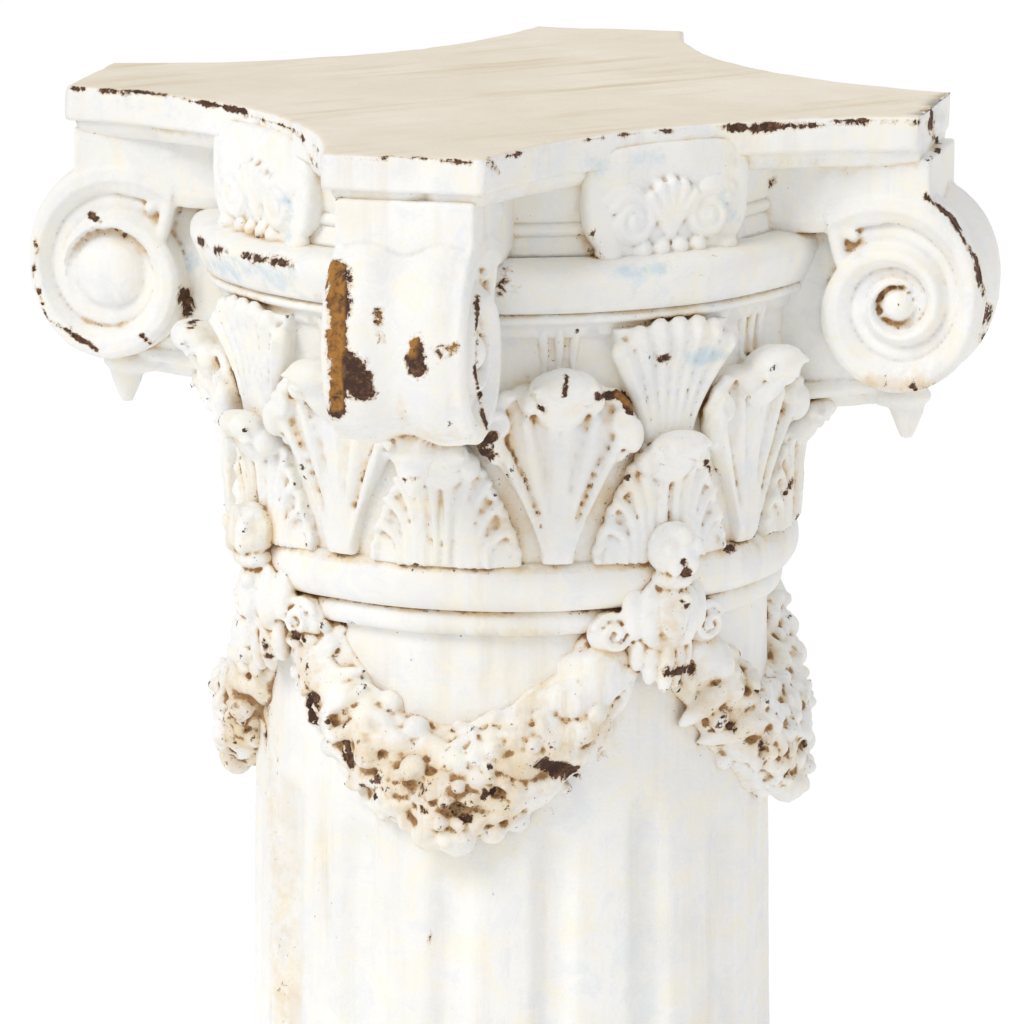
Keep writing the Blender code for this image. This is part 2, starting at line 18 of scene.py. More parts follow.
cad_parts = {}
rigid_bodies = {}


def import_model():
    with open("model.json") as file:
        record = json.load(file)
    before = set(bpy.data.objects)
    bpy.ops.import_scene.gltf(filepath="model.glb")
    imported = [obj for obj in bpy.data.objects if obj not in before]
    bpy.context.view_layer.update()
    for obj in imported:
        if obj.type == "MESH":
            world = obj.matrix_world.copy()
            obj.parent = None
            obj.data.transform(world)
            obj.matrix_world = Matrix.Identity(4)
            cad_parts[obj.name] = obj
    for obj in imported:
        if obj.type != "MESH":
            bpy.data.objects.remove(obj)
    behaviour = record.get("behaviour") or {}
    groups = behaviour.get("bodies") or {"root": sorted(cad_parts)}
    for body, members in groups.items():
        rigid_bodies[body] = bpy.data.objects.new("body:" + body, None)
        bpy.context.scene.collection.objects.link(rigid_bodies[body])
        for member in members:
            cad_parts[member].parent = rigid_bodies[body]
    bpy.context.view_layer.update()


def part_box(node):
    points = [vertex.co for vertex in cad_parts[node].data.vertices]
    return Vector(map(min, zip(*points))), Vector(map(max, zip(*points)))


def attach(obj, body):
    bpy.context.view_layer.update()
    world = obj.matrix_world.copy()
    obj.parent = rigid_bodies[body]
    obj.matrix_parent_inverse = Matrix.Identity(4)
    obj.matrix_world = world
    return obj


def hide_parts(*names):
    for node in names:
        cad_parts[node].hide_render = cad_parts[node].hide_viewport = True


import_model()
scene = bpy.context.scene
low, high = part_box("column")
HEIGHT = high.z
print("column", [round(v, 4) for v in low], [round(v, 4) for v in high])

# %% [markdown]
# ## Camera and light
# The picture was taken a little above the capital, with a long lens, so the column's sides stay
# parallel. A soft sun from the left and a bright even sky make gentle shadows, as a studio tent
# does. The Standard view keeps white paint white.

# %% Camera, sky and sun
AZIMUTH = math.radians(-31.5)
ELEVATION = math.radians(11.8)
DISTANCE = 3.5
LENS = 261.5
FRAME_PIXELS = 1024
aim = Vector((0, 0, HEIGHT - 0.2017))
away = Vector((math.sin(AZIMUTH) * math.cos(ELEVATION), -math.cos(AZIMUTH) * math.cos(ELEVATION),
               math.sin(ELEVATION)))
camera = bpy.data.objects.new("camera", bpy.data.cameras.new("camera"))
camera.data.lens = LENS
camera.location = aim + away * DISTANCE
camera.rotation_euler = (camera.location - aim).to_track_quat("Z", "Y").to_euler()
scene.collection.objects.link(camera)
scene.camera = camera
bpy.context.view_layer.update()

SKY_COLOUR = (0.965, 0.975, 1.0, 1)
SKY_STRENGTH = 0.73
SUN_STRENGTH = 1.06
SUN_COLOUR = (1.0, 0.985, 0.955)
SUN_SPREAD = math.radians(24)
SUN_FROM_ZENITH = math.radians(50)
SUN_LEFT_OF_CAMERA = math.radians(46)
world = bpy.data.worlds.new("sky")
world.use_nodes = True
world.node_tree.nodes["Background"].inputs["Color"].default_value = SKY_COLOUR
world.node_tree.nodes["Background"].inputs["Strength"].default_value = SKY_STRENGTH
scene.world = world
sun = bpy.data.objects.new("sun", bpy.data.lights.new("sun", "SUN"))
sun.data.energy = SUN_STRENGTH
sun.data.angle = SUN_SPREAD
sun.data.color = SUN_COLOUR
sun.rotation_euler = (SUN_FROM_ZENITH, 0, AZIMUTH - SUN_LEFT_OF_CAMERA)
scene.collection.objects.link(sun)
scene.view_settings.view_transform = "Standard"
print("camera at", [round(v, 3) for v in camera.location])

# %% [markdown]
# ## Sizes
# The carving uses the same sizes as the solid, so each ornament sits where the solid has it.
# Bands are measured down from the top face, and ornaments out from the band that carries them.

# %% Sizes of the casting
SHAFT_RADIUS = 0.120
SHAFT_FOOT_RADIUS = 0.128
FASCIA_BOTTOM = HEIGHT - 0.017
TOP_UNDERSIDE = FASCIA_BOTTOM - 0.008
NECK_BOTTOM = TOP_UNDERSIDE - 0.032
OVOLO_BOTTOM = NECK_BOTTOM - 0.031
BELL_BOTTOM = OVOLO_BOTTOM - 0.1106
TORUS_BOTTOM = BELL_BOTTOM - 0.023
RING_BOTTOM = TORUS_BOTTOM - 0.0122
BASE_TOP = 0.155
NECK_RADIUS = SHAFT_RADIUS + 0.012
OVOLO_RADIUS = SHAFT_RADIUS + 0.030
QUARTER = math.pi / 2
MM = 0.001


def at(angle, radius, z, across=0.0):
    """Points from a direction, a distance from the axis, a height and a sideways place."""
    angle, radius, z, across = np.broadcast_arrays(angle, radius, z, across)
    x = np.cos(angle) * radius - np.sin(angle) * across
    y = np.sin(angle) * radius + np.cos(angle) * across
    return np.stack([x, y, z], -1).astype(float)


def mix(first, last, share):
    """A value between two others."""
    return first + (last - first) * share


def ease(share):
    """A share from 0 to 1 that starts and stops gently."""
    share = np.clip(share, 0, 1)
    return share * share * (3 - 2 * share)


def bell_radius(z):
    """Radius of the bell behind the leaves."""
    share = np.clip((z - BELL_BOTTOM) / (OVOLO_BOTTOM - BELL_BOTTOM), 0, 1)
    return SHAFT_RADIUS + mix(0.009, 0.014, share)


def shaft_radius(z):
    """Radius of the shaft, which swells a little towards its foot."""
    share = np.clip((RING_BOTTOM - z) / (RING_BOTTOM - BASE_TOP), 0, 1)
    return mix(SHAFT_RADIUS, SHAFT_FOOT_RADIUS, share)


print("bands end at", [round(z, 4) for z in (FASCIA_BOTTOM, TOP_UNDERSIDE, NECK_BOTTOM,
                                             OVOLO_BOTTOM, BELL_BOTTOM, TORUS_BOTTOM, RING_BOTTOM)])

# %% [markdown]
# ## Three ways to make a form
# A plasterer builds ornament from rolls, balls and slabs and presses them together. The same
# three are enough here: a loft over rings of points, a tube along a path, and a blob. Each is a
# closed skin, so that a voxel remesh can later melt many of them into one casting.

# %% Loft, tube and blob
def loft(rings):
    """A closed skin over rows of points, with its two ends filled."""
    rings = np.asarray(rings, float)
    rows, columns = rings.shape[:2]
    index = np.arange(rows * columns).reshape(rows, columns)
    low_row, high_row = index[:-1], index[1:]
    quads = np.stack([low_row, np.roll(low_row, -1, 1), np.roll(high_row, -1, 1), high_row], -1)
    faces = quads.reshape(-1, 4).tolist()
    faces.append(index[0][::-1].tolist())
    faces.append(index[-1].tolist())
    return rings.reshape(-1, 3), faces


def unit(vectors):
    """Vectors of length one."""
    vectors = np.asarray(vectors, float)
    return vectors / np.maximum(np.linalg.norm(vectors, axis=-1, keepdims=True), 1e-12)


def tube(path, radii, sides=10, flat=1.0, facing=None):
    """A roll along a path with rounded ends; facing is the side that flat thins."""
    path = np.asarray(path, float)
    radii = np.broadcast_to(radii, len(path)).astype(float)
    along = unit(np.gradient(path, axis=0))
    if facing is None:
        facing = path * np.array([1, 1, 0])
    side = unit(np.cross(along, np.broadcast_to(facing, path.shape)))
    front = np.cross(side, along)
    rows = [(path[0] - along[0] * radii[0] * 0.7, radii[0] * 0.55, 0)]
    rows += [(path[k], radii[k], k) for k in range(len(path))]
    rows.append((path[-1] + along[-1] * radii[-1] * 0.7, radii[-1] * 0.55, -1))
    turn = np.arange(sides) * 2 * math.pi / sides
    rings = [centre + radius * (np.outer(np.cos(turn), side[k]) + np.outer(np.sin(turn) * flat, front[k]))
             for centre, radius, k in rows]
    return loft(rings)


def blob(centre, across, out, up, rows=8, sides=12):
    """An egg from its middle and its three half axes."""
    level = np.linspace(-1, 1, rows) * 1.35
    turn = np.arange(sides) * 2 * math.pi / sides
    centre, across, out, up = (np.asarray(v, float) for v in (centre, across, out, up))
    flat = np.outer(np.cos(turn), across) + np.outer(np.sin(turn), out)
    return loft([centre + math.sin(a) * up + math.cos(a) * flat for a in level])


def egg(angle, radius, z, across, wide, deep, tall, lean=0.0):
    """A blob placed on the column: its width, its depth outward, its height, and how it leans out."""
    outward = np.array([math.cos(angle), math.sin(angle), 0])
    sideways = np.array([-math.sin(angle), math.cos(angle), 0])
    upward = np.array([0, 0, 1.0])
    up = upward * math.cos(lean) + outward * math.sin(lean)
    out = outward * math.cos(lean) - upward * math.sin(lean)
    return blob(at(angle, radius, z, across), sideways * wide, out * deep, up * tall)


# %% [markdown]
# ## From loose forms to one skin
# An object collects the forms, and a stack of modifiers finishes them. Geometry Nodes repeat one
# ornament round the axis, a voxel remesh melts the copies together, a little smoothing rounds the
# joins as thick paint does, and a displacement makes the surface hand made. The result is read
# back as a plain mesh.

# %% A tree that repeats a shape round the column
def sockets(tree, kinds):
    """Gives a tree its inputs, by name and kind, and its one output."""
    for name, kind in kinds:
        tree.interface.new_socket(name, in_out="INPUT", socket_type="NodeSocket" + kind)
    tree.interface.new_socket("Geometry", in_out="OUTPUT", socket_type="NodeSocketGeometry")


def wire(tree, rows):
    """Joins nodes: each row is a node, its output, the next node and its input."""
    for source, out, target, into in rows:
        tree.links.new(source.outputs[out], target.inputs[into])


def ring_tree():
    """Repeats its geometry round the Z axis and joins what meets."""
    tree = bpy.data.node_groups.new("ring_of_copies", "GeometryNodeTree")
    sockets(tree, (("Geometry", "Geometry"), ("Copies", "Int"), ("First turn", "Float"),
                   ("Paint", "Material")))
    new = tree.nodes.new
    given, made = new("NodeGroupInput"), new("NodeGroupOutput")
    points, copies = new("GeometryNodePoints"), new("GeometryNodeInstanceOnPoints")
    index, step = new("GeometryNodeInputIndex"), new("ShaderNodeMath")
    turn, place = new("ShaderNodeMath"), new("ShaderNodeCombineXYZ")
    share, real = new("ShaderNodeMath"), new("GeometryNodeRealizeInstances")
    merge, paint = new("GeometryNodeMergeByDistance"), new("GeometryNodeSetMaterial")
    share.operation = "DIVIDE"
    share.inputs[0].default_value = 2 * math.pi
    step.operation = "MULTIPLY"
    turn.operation = "ADD"
    merge.inputs["Distance"].default_value = 1e-6
    wire(tree, (
        (given, "Copies", points, "Count"), (points, 0, copies, "Points"),
        (given, "Geometry", copies, "Instance"), (given, "Copies", share, 1), (index, 0, step, 0),
        (share, 0, step, 1), (step, 0, turn, 0), (given, "First turn", turn, 1), (turn, 0, place, "Z"),
        (place, 0, copies, "Rotation"), (copies, 0, real, 0), (real, 0, merge, "Geometry"),
        (merge, 0, paint, "Geometry"), (given, "Paint", paint, "Material"), (paint, 0, made, 0)))
    return tree


RING = ring_tree()
WHITE = bpy.data.materials.new("old_white_paint")
TOP = bpy.data.materials.new("brushed_cream_top")


def give(modifier, values):
    """Sets a Geometry Nodes modifier's inputs by their socket identifiers."""
    names = {s.name: s.identifier for s in modifier.node_group.interface.items_tree
             if s.in_out == "INPUT"}
    for name, value in values.items():
        modifier[names[name]] = value


def loose(name, shapes):
    """One object that holds many closed skins, their faces turned outward."""
    points, faces, start = [], [], 0
    for places, polygons in shapes:
        points.append(places)
        faces += [[i + start for i in polygon] for polygon in polygons]
        start += len(places)
    mesh = bpy.data.meshes.new(name)
    mesh.from_pydata(np.concatenate(points).tolist(), [], faces)
    form = bmesh.new()
    form.from_mesh(mesh)
    bmesh.ops.recalc_face_normals(form, faces=form.faces[:])
    form.to_mesh(mesh)
    form.free()
    thing = bpy.data.objects.new(name, mesh)
    scene.collection.objects.link(thing)
    return thing


def ring_of(thing, copies, first=0.0):
    """Adds the tree that repeats an object round the column."""
    ring = thing.modifiers.new("ring", "NODES")
    ring.node_group = RING
    give(ring, {"Copies": copies, "First turn": first, "Paint": WHITE})
    return thing


def waves(thing, name, kind, size, depth):
    """Adds a displacement by a pattern, and gives that pattern."""
    pattern = bpy.data.textures.new(name, kind)
    pattern.noise_scale = size
    wave = thing.modifiers.new(name, "DISPLACE")
    wave.texture = pattern
    wave.strength = depth
    wave.mid_level = 0.5
    return pattern


def lumps(thing, size, depth):
    """Adds the unevenness of a hand-made surface."""
    waves(thing, "lumps", "CLOUDS", size, depth).noise_depth = 2
    return thing


def strands(thing, size, depth):
    """Adds wavering ridges, like stems and petals that flow into each other."""
    pattern = waves(thing, "strands", "WOOD", size, depth)
    pattern.wood_type = "BANDNOISE"
    pattern.turbulence = 9
    return thing


def melt(thing, grain, soften=3):
    """Adds the remesh that melts a heap of forms into one skin, and rounds its joins."""
    remesh = thing.modifiers.new("melt", "REMESH")
    remesh.mode = "VOXEL"
    remesh.voxel_size = grain
    smooth = thing.modifiers.new("soften", "SMOOTH")
    smooth.factor = 0.5
    smooth.iterations = soften
    return thing


def evaluated(thing):
    """The mesh that an object's modifiers make."""
    bpy.context.view_layer.update()
    return bpy.data.meshes.new_from_object(thing.evaluated_get(bpy.context.evaluated_depsgraph_get()))


PIECES = []


def cast(thing, share=1.0):
    """Reads the finished mesh back from the modifiers, with a share of its triangles, as a piece."""
    if share < 1:
        fewer = thing.modifiers.new("fewer", "DECIMATE")
        fewer.ratio = share
    mesh = evaluated(thing)
    piece = bpy.data.objects.new(thing.name, mesh)
    bpy.data.objects.remove(thing)
    piece.name = mesh.name = piece.name.split(".")[0]
    scene.collection.objects.link(piece)
    mesh.materials.clear()
    mesh.materials.append(WHITE)
    mesh.polygons.foreach_set("material_index", np.zeros(len(mesh.polygons), np.int32))
    mesh.shade_smooth()
    mesh.calc_loop_triangles()
    PIECES.append(piece)
    print(piece.name, len(mesh.loop_triangles), "triangles")
    return piece


# %% [markdown]
# ## The shaft
# Sixteen shallow flutes run down the shaft, and stop lower at the corners, where the swags hang.
# A quarter of the shaft is a grid of points whose distance from the axis follows one rule, and
# the ring tree turns it into the whole. The grid starts and ends on the axis, so it closes.

# %% Fluted shaft
FLUTES = 16
FLUTE_WIDTH = 0.024
FLUTE_DEPTH = 0.005
FLUTE_TOP = RING_BOTTOM - 0.079
FLUTE_FOOT = BASE_TOP + 0.012


def shaft_quarter():
    """A quarter of the fluted shaft."""
    columns, rows = 80, 90
    angle = np.linspace(0, QUARTER, columns + 1)
    z = np.linspace(RING_BOTTOM + 0.004, BASE_TOP - 0.006, rows)
    angle, z = np.meshgrid(angle, z)
    step = 2 * math.pi / FLUTES
    flute_angle = np.round(angle / step) * step
    off = (angle - flute_angle) * SHAFT_RADIUS
    top = FLUTE_TOP - 0.024 * (1 - np.cos(4 * flute_angle)) / 2
    half = FLUTE_WIDTH / 2
    round_end = np.minimum(top - z, z - FLUTE_FOOT)
    lift = np.where(round_end < half, half - np.clip(round_end, 0, half), 0)
    reach = np.sqrt(off ** 2 + lift ** 2)
    hollow = ease((half - reach) / (half * 0.75)) * (round_end > 0)
    radius = shaft_radius(z) - FLUTE_DEPTH * hollow
    wall = at(angle, radius, z)
    axis_top = np.broadcast_to([0, 0, z[0, 0]], (1, columns + 1, 3))
    axis_foot = np.broadcast_to([0, 0, z[-1, 0]], (1, columns + 1, 3))
    grid = np.concatenate([axis_top, wall, axis_foot])
    index = np.arange(grid.shape[0] * grid.shape[1]).reshape(grid.shape[:2])
    a, b = index[:-1], index[1:]
    quads = np.stack([a[:, :-1], b[:, :-1], b[:, 1:], a[:, 1:]], -1).reshape(-1, 4)
    return grid.reshape(-1, 3), quads.tolist()


shaft = loose("fluted_shaft", [shaft_quarter()])
cast(lumps(ring_of(shaft, 4), size=0.05, depth=0.0011))

# %% [markdown]
# ## Turned mouldings
# The neck, the egg-shaped ovolo, the bell behind the leaves, the torus and its thin ring are all
# turned, and so are the mouldings of the base. Each is one outline carried round the axis. The
# outline is made finely enough for the light to run smoothly over it.

# %% Neck, bell, torus and base
def turned(outline, columns):
    """A closed solid turned from an outline of distances and heights."""
    angle = np.arange(columns) * 2 * math.pi / columns
    return loft([at(angle, radius, z) for radius, z in outline])


def swell(radius, bulge, top, bottom, steps):
    """The outline of a rounded moulding."""
    a = np.linspace(math.pi / 2, -math.pi / 2, steps)
    return list(zip(radius + bulge * np.cos(a), (top + bottom) / 2 + (top - bottom) / 2 * np.sin(a)))


def straight(start, end, steps):
    """Even steps between two points of an outline."""
    return [(mix(start[0], end[0], k / steps), mix(start[1], end[1], k / steps)) for k in range(steps + 1)]


def core_outline():
    """From inside the square top down to inside the shaft."""
    outline = [(0.02, FASCIA_BOTTOM)]
    outline += straight((NECK_RADIUS + 0.004, FASCIA_BOTTOM - 0.003), (NECK_RADIUS, NECK_BOTTOM + 0.016), 10)
    outline += swell(NECK_RADIUS - 0.001, 0.0025, NECK_BOTTOM + 0.015, NECK_BOTTOM + 0.009, 6)
    outline += straight((NECK_RADIUS, NECK_BOTTOM + 0.008), (NECK_RADIUS + 0.002, NECK_BOTTOM), 4)
    rise = OVOLO_RADIUS - NECK_RADIUS
    lip = OVOLO_RADIUS - 0.007
    for share in np.linspace(0.05, 1, 9):
        outline.append((NECK_RADIUS + rise * math.sin(share * QUARTER), NECK_BOTTOM - 0.008 * share ** 2.2))
    outline += straight((OVOLO_RADIUS, NECK_BOTTOM - 0.010), (lip + 0.001, OVOLO_BOTTOM + 0.007), 7)
    outline += swell(lip - 0.003, 0.003, OVOLO_BOTTOM + 0.006, OVOLO_BOTTOM + 0.001, 6)
    foot = bell_radius(OVOLO_BOTTOM)
    outline += straight((foot + 0.004, OVOLO_BOTTOM), (foot + 0.003, OVOLO_BOTTOM - 0.005), 3)
    outline += straight((foot + 0.001, OVOLO_BOTTOM - 0.006),
                        (bell_radius(BELL_BOTTOM), BELL_BOTTOM + 0.001), 26)
    outline += swell(SHAFT_RADIUS + 0.0085, 0.0065, BELL_BOTTOM, TORUS_BOTTOM + 0.0004, 16)
    outline += swell(SHAFT_RADIUS + 0.0042, 0.0033, TORUS_BOTTOM - 0.0002, RING_BOTTOM + 0.0006, 10)
    outline += [(SHAFT_RADIUS + 0.001, RING_BOTTOM), (SHAFT_RADIUS - 0.004, RING_BOTTOM - 0.003),
                (0.02, RING_BOTTOM - 0.003)]
    return outline


def base_outline():
    """Two rounded mouldings with a hollow between them."""
    radius = SHAFT_FOOT_RADIUS
    outline = [(0.02, BASE_TOP + 0.001)]
    outline += swell(radius - 0.001, 0.0062, BASE_TOP, BASE_TOP - 0.008, 9)
    outline += swell(radius + 0.006, 0.012, BASE_TOP - 0.008, BASE_TOP - 0.030, 16)
    lip = radius + 0.0152
    outline += straight((lip, BASE_TOP - 0.0305), (lip, BASE_TOP - 0.034), 2)
    for share in np.linspace(0, 1, 16):
        outline.append((mix(lip, radius + 0.024, share) - 0.0075 * math.sin(share * math.pi),
                        mix(BASE_TOP - 0.0345, BASE_TOP - 0.060, share)))
    outline += straight((radius + 0.0248, BASE_TOP - 0.0605), (radius + 0.0248, BASE_TOP - 0.064), 2)
    outline += swell(radius + 0.0124, 0.0186, BASE_TOP - 0.064, 0.0552, 22)
    outline.append((0.02, 0.052))
    return outline


core = loose("neck_bell_and_torus", [turned(core_outline(), 400)])
cast(lumps(core, size=0.045, depth=0.0012), share=0.70)
base = loose("moulded_base", [turned(base_outline(), 220)])
cast(lumps(base, size=0.05, depth=0.001))

# %% [markdown]
# The plinth is a square slab with worn arrises. A slab gets softer edges when its outline is
# drawn in a little at the first and last rows, which is what a bevel does.

# %% Plinth
def square_ring(half, corner, z, steps=28):
    """A square with rounded corners at one height."""
    points = []
    for k in range(4):
        turn = k * QUARTER
        centre = at(turn, half - corner, z, half - corner)
        arc = np.linspace(0, QUARTER, 6) + turn
        side = at(turn, np.full(steps, half), z, np.linspace(-half + corner, half - corner, steps + 1)[:-1])
        points += [side, centre + np.stack([np.cos(arc), np.sin(arc), arc * 0], -1) * corner]
    return np.concatenate(points)


def plinth():
    """The slab that the column stands on, flat underneath."""
    half, top = 0.165, 0.055
    rows = [(half - 0.0008, 0.0), (half - 0.0002, 0.0012)]
    rows += [(half - 0.0002, z) for z in np.linspace(0.003, top - 0.003, 18)]
    rows += [(half - 0.0008, top - 0.0012), (half - 0.0022, top - 0.0003)]
    rings = [square_ring(size, 0.003, z) for size, z in rows]
    rings += [square_ring(half - 0.0022, 0.003, top) * [share, share, 1]
              for share in (0.995, 0.97, 0.93, 0.88)]
    return loft(rings)


cast(loose("plinth", [plinth()]))

# %% [markdown]
# ## The square top
# The abacus has four hollow sides and four cut corners. Its outline is worked out from arcs, and
# the edge is a row of outlines, each drawn in by what the moulding needs. The top face is filled
# with smaller and smaller outlines, so that it has points enough to be slightly uneven.

# %% Square top
CORNER_REACH = 0.206
CORNER_HALF_WIDTH = 0.0376
SIDE_REACH = 0.134


def top_outline(inset, z):
    """The outline of the square top, drawn in by an inset."""
    diagonal = np.array([math.sqrt(0.5), math.sqrt(0.5)])
    along = np.array([math.sqrt(0.5), -math.sqrt(0.5)])
    corner = diagonal * CORNER_REACH + along * CORNER_HALF_WIDTH
    sag = corner[0] - SIDE_REACH
    sweep = (corner[1] ** 2 + sag ** 2) / (2 * sag)
    centre = np.array([SIDE_REACH + sweep, 0])
    start = diagonal * (CORNER_REACH - inset) - centre
    half = start @ along
    reach = sweep + inset
    end = start + along * (-half - math.sqrt(half ** 2 - start @ start + reach ** 2))
    spread = math.atan2(end[1], -end[0])
    a = np.linspace(-spread, spread, 72)
    side = np.stack([centre[0] - reach * np.cos(a), reach * np.sin(a)], -1)
    first, last = side[-1], np.array([-side[0, 1], side[0, 0]])
    cut = [mix(first, last, k / 16) for k in range(1, 16)]
    quarter = np.concatenate([side, cut])
    points = [at(k * QUARTER, quarter[:, 0], z, quarter[:, 1]) for k in range(4)]
    return np.concatenate(points)


WORN_CORNER = math.radians(315)


def worn(rim):
    """Draws an outline in, by soft dents everywhere, small chips, and a corner broken short."""
    made = []
    for place in rim:
        spot = Vector(place)
        soft = noise.noise(spot * 22) * 0.0016 + noise.noise(spot * 60 + Vector((3, 0, 0))) * 0.0008
        chip = max(0.0, noise.noise(spot * 85 + Vector((0, 7, 0))) - 0.38) * 0.008
        corner = Vector((math.cos(WORN_CORNER), math.sin(WORN_CORNER), 0))
        past = max(0.0, spot.dot(corner) - (CORNER_REACH - 0.0075 + noise.noise(spot * 50) * 0.0015))
        flat = spot.copy()
        flat.z = 0
        made.append(spot - flat.normalized() * (abs(soft) + chip) - corner * past * 0.8)
    return np.array(made)


def abacus():
    """The slab, its plain edge, and the small moulding under it."""
    rows = [(0.0022, 0.0002), (0.0009, 0.0008), (0.0004, 0.002)]
    rows += [(0.0003, drop) for drop in np.linspace(0.004, 0.0145, 6)]
    rows += [(0.0007, 0.0162), (0.0022, 0.0168), (0.0045, 0.0170)]
    for share in np.linspace(0, 1, 7):
        rows.append((0.0045 + 0.0055 * share ** 2, 0.0172 + 0.0076 * share))
    rows += [(0.012, 0.025), (0.03, 0.0252)]
    rim = top_outline(0.0022, HEIGHT - 0.0006)
    rings = [rim * [share, share, 1] for share in np.linspace(0.03, 0.985, 22)]
    rings += [worn(top_outline(inset, HEIGHT - 0.0004 - drop)) for inset, drop in rows]
    return loft(rings)


square_top = cast(lumps(loose("square_top", [abacus()]), size=0.035, depth=0.0010))

# %% [markdown]
# ## Volutes
# Each corner scroll is a disc whose edge follows a spiral. On its two faces the band winds inward
# to the eye, and the rim between them is two soft rolls with a valley. The spiral is given by its
# distance from the eye at each quarter turn, and one rule carves every point of the face: how far
# it lies between one turn of the band and the next.

# %% Scroll
SCROLL_RADII = (0.055, 0.0395, 0.0425, 0.036, 0.028, 0.022, 0.018)
SCROLL_THICKNESS = 0.066
SCROLL_RELIEF = 0.007
BAND_SHARE = 0.62
RIM_VALLEY = 0.0042
RIM_CRACK = 0.6 * MM
EYE_INSET = 0.018
EYE_DROP = 0.090
EYE_R = CORNER_REACH - EYE_INSET
EYE_Z = HEIGHT - EYE_DROP
SPIRAL = np.array([0.062] + list(SCROLL_RADII) + [SCROLL_RADII[-1] * 0.80 ** k for k in range(1, 12)])


def spiral(turn):
    """Distance of the band's edge from the eye, smooth between the quarter turns."""
    turn = np.clip(np.asarray(turn, float) + 1, 0, len(SPIRAL) - 1.001)
    k = np.floor(turn).astype(int)
    f = turn - k
    last = len(SPIRAL) - 1
    p = [SPIRAL[np.clip(k + j, 0, last)] for j in (-1, 0, 1, 2)]
    return 0.5 * (2 * p[1] + (p[2] - p[0]) * f + (2 * p[0] - 5 * p[1] + 4 * p[2] - p[3]) * f ** 2
                  + (3 * p[1] - p[0] - 3 * p[2] + p[3]) * f ** 3)


def scroll_height(turn, reach, eye):
    """How high the face stands over its ground at a turn and a distance from the eye."""
    edges = [spiral(turn - 4 + 4 * k) for k in range(5)]
    height = np.zeros_like(reach)
    for outer, inner in zip(edges, edges[1:]):
        inside = (reach <= outer) & (reach > inner)
        share = np.clip((outer - reach) / np.maximum(outer - inner, 1e-6), 0, 1)
        band = np.where(share < BAND_SHARE, np.sin(np.clip(share / BAND_SHARE, 0, 1) * math.pi) ** 0.6,
                        -0.15 * np.sin((share - BAND_SHARE) / 0.38 * math.pi))
        ridges = 0.07 * np.cos(share * 2 * math.pi * 5) * np.clip((outer - inner) / 0.012, 0, 1)
        height = np.where(inside, 0.15 + 0.85 * band + ridges, height)
    dome = np.sqrt(np.clip(1 - (reach / eye) ** 2, 0, 1))
    ring = np.clip(1 - abs(reach - eye * 1.12) / (eye * 0.16), 0, 1)
    height = np.where(reach < eye * 1.3, np.maximum(dome, -0.25 * ring), height)
    return height * SCROLL_RELIEF


def scroll(angle, eye):
    """One volute as a closed skin: face, rim and face."""
    columns = 168
    turn = np.arange(columns) * 4 / columns
    blend_in = ease((turn - 3.35) / 0.3)
    outer = mix(spiral(turn), spiral(turn - 4), blend_in)
    half = SCROLL_THICKNESS / 2
    ground = half - SCROLL_RELIEF
    slope = math.pi / 2 * (1 - turn)
    rings = []

    def row(reach, across):
        return at(angle, EYE_R + reach * np.cos(slope), EYE_Z + reach * np.sin(slope), across)

    shares = np.linspace(0.03, 0.965, 44)
    for hand, order in ((-1, shares), (1, shares[::-1])):
        for share in order:
            reach = outer * share
            rings.append(row(reach, hand * (ground + scroll_height(turn, reach, eye))))
        if hand > 0:
            break
        for across in np.linspace(-0.94, 0.94, 25):
            size = abs(across)
            dip = np.where(size < 0.5, (1 + np.cos(2 * math.pi * size)) / 2,
                           (1 - np.cos(2 * math.pi * (size - 0.5))) / 6)
            crack = RIM_CRACK * math.exp(-((size - 0.80) / 0.05) ** 2)
            rings.append(row(outer - RIM_VALLEY * dip - crack - 0.0004, across * half))
    return loft(rings)


print("the scroll's band winds from", round(float(spiral(0)), 4), "to", round(float(spiral(12)), 4))

# %% [markdown]
# A stem carries each scroll out from the neck, with a small husk where they part. Under the
# scroll a leaf reaches out from the bell and ends in a hanging tip. These are plain lofts and
# tubes: the remesh will round where they run into the scroll.

# %% Stem, husk and hanging leaf
def stem(angle):
    """The block between the neck and the scroll, under the square top."""
    half = SCROLL_THICKNESS / 2 - 0.0012
    rings = []
    for radius, drop in ((NECK_RADIUS - 0.006, 0.034), (0.150, 0.033), (EYE_R - 0.020, 0.030),
                         (EYE_R + 0.010, 0.024), (EYE_R + 0.0155, 0.021)):
        z = TOP_UNDERSIDE - drop
        side = np.array([-half, -half, -half * 0.92, half * 0.92, half, half])
        rise = np.array([TOP_UNDERSIDE + 0.004, z + 0.006, z, z, z + 0.006, TOP_UNDERSIDE + 0.004])
        rings.append(at(angle, radius, rise, side))
    return loft(rings)


def husks(angle):
    """A small stalk at the inner top of each face of the scroll."""
    forms = []
    for hand in (-1, 1):
        across = hand * 0.0275
        share = np.linspace(0, 1, 9)
        path = at(angle, 0.156 + 0.006 * share ** 2, mix(TOP_UNDERSIDE - 0.004, EYE_Z + 0.018, share), across)
        forms.append(tube(path, mix(0.0050, 0.0032, share), 8))
        forms.append(egg(angle, 0.1555, TOP_UNDERSIDE - 0.006, across, 0.006, 0.0065, 0.006))
        path = at(angle, 0.156 + 0.012 * share, mix(EYE_Z + 0.040, EYE_Z + 0.031, share), across)
        forms.append(tube(path, 0.0028, 8, facing=(0, 0, 1)))
    return forms


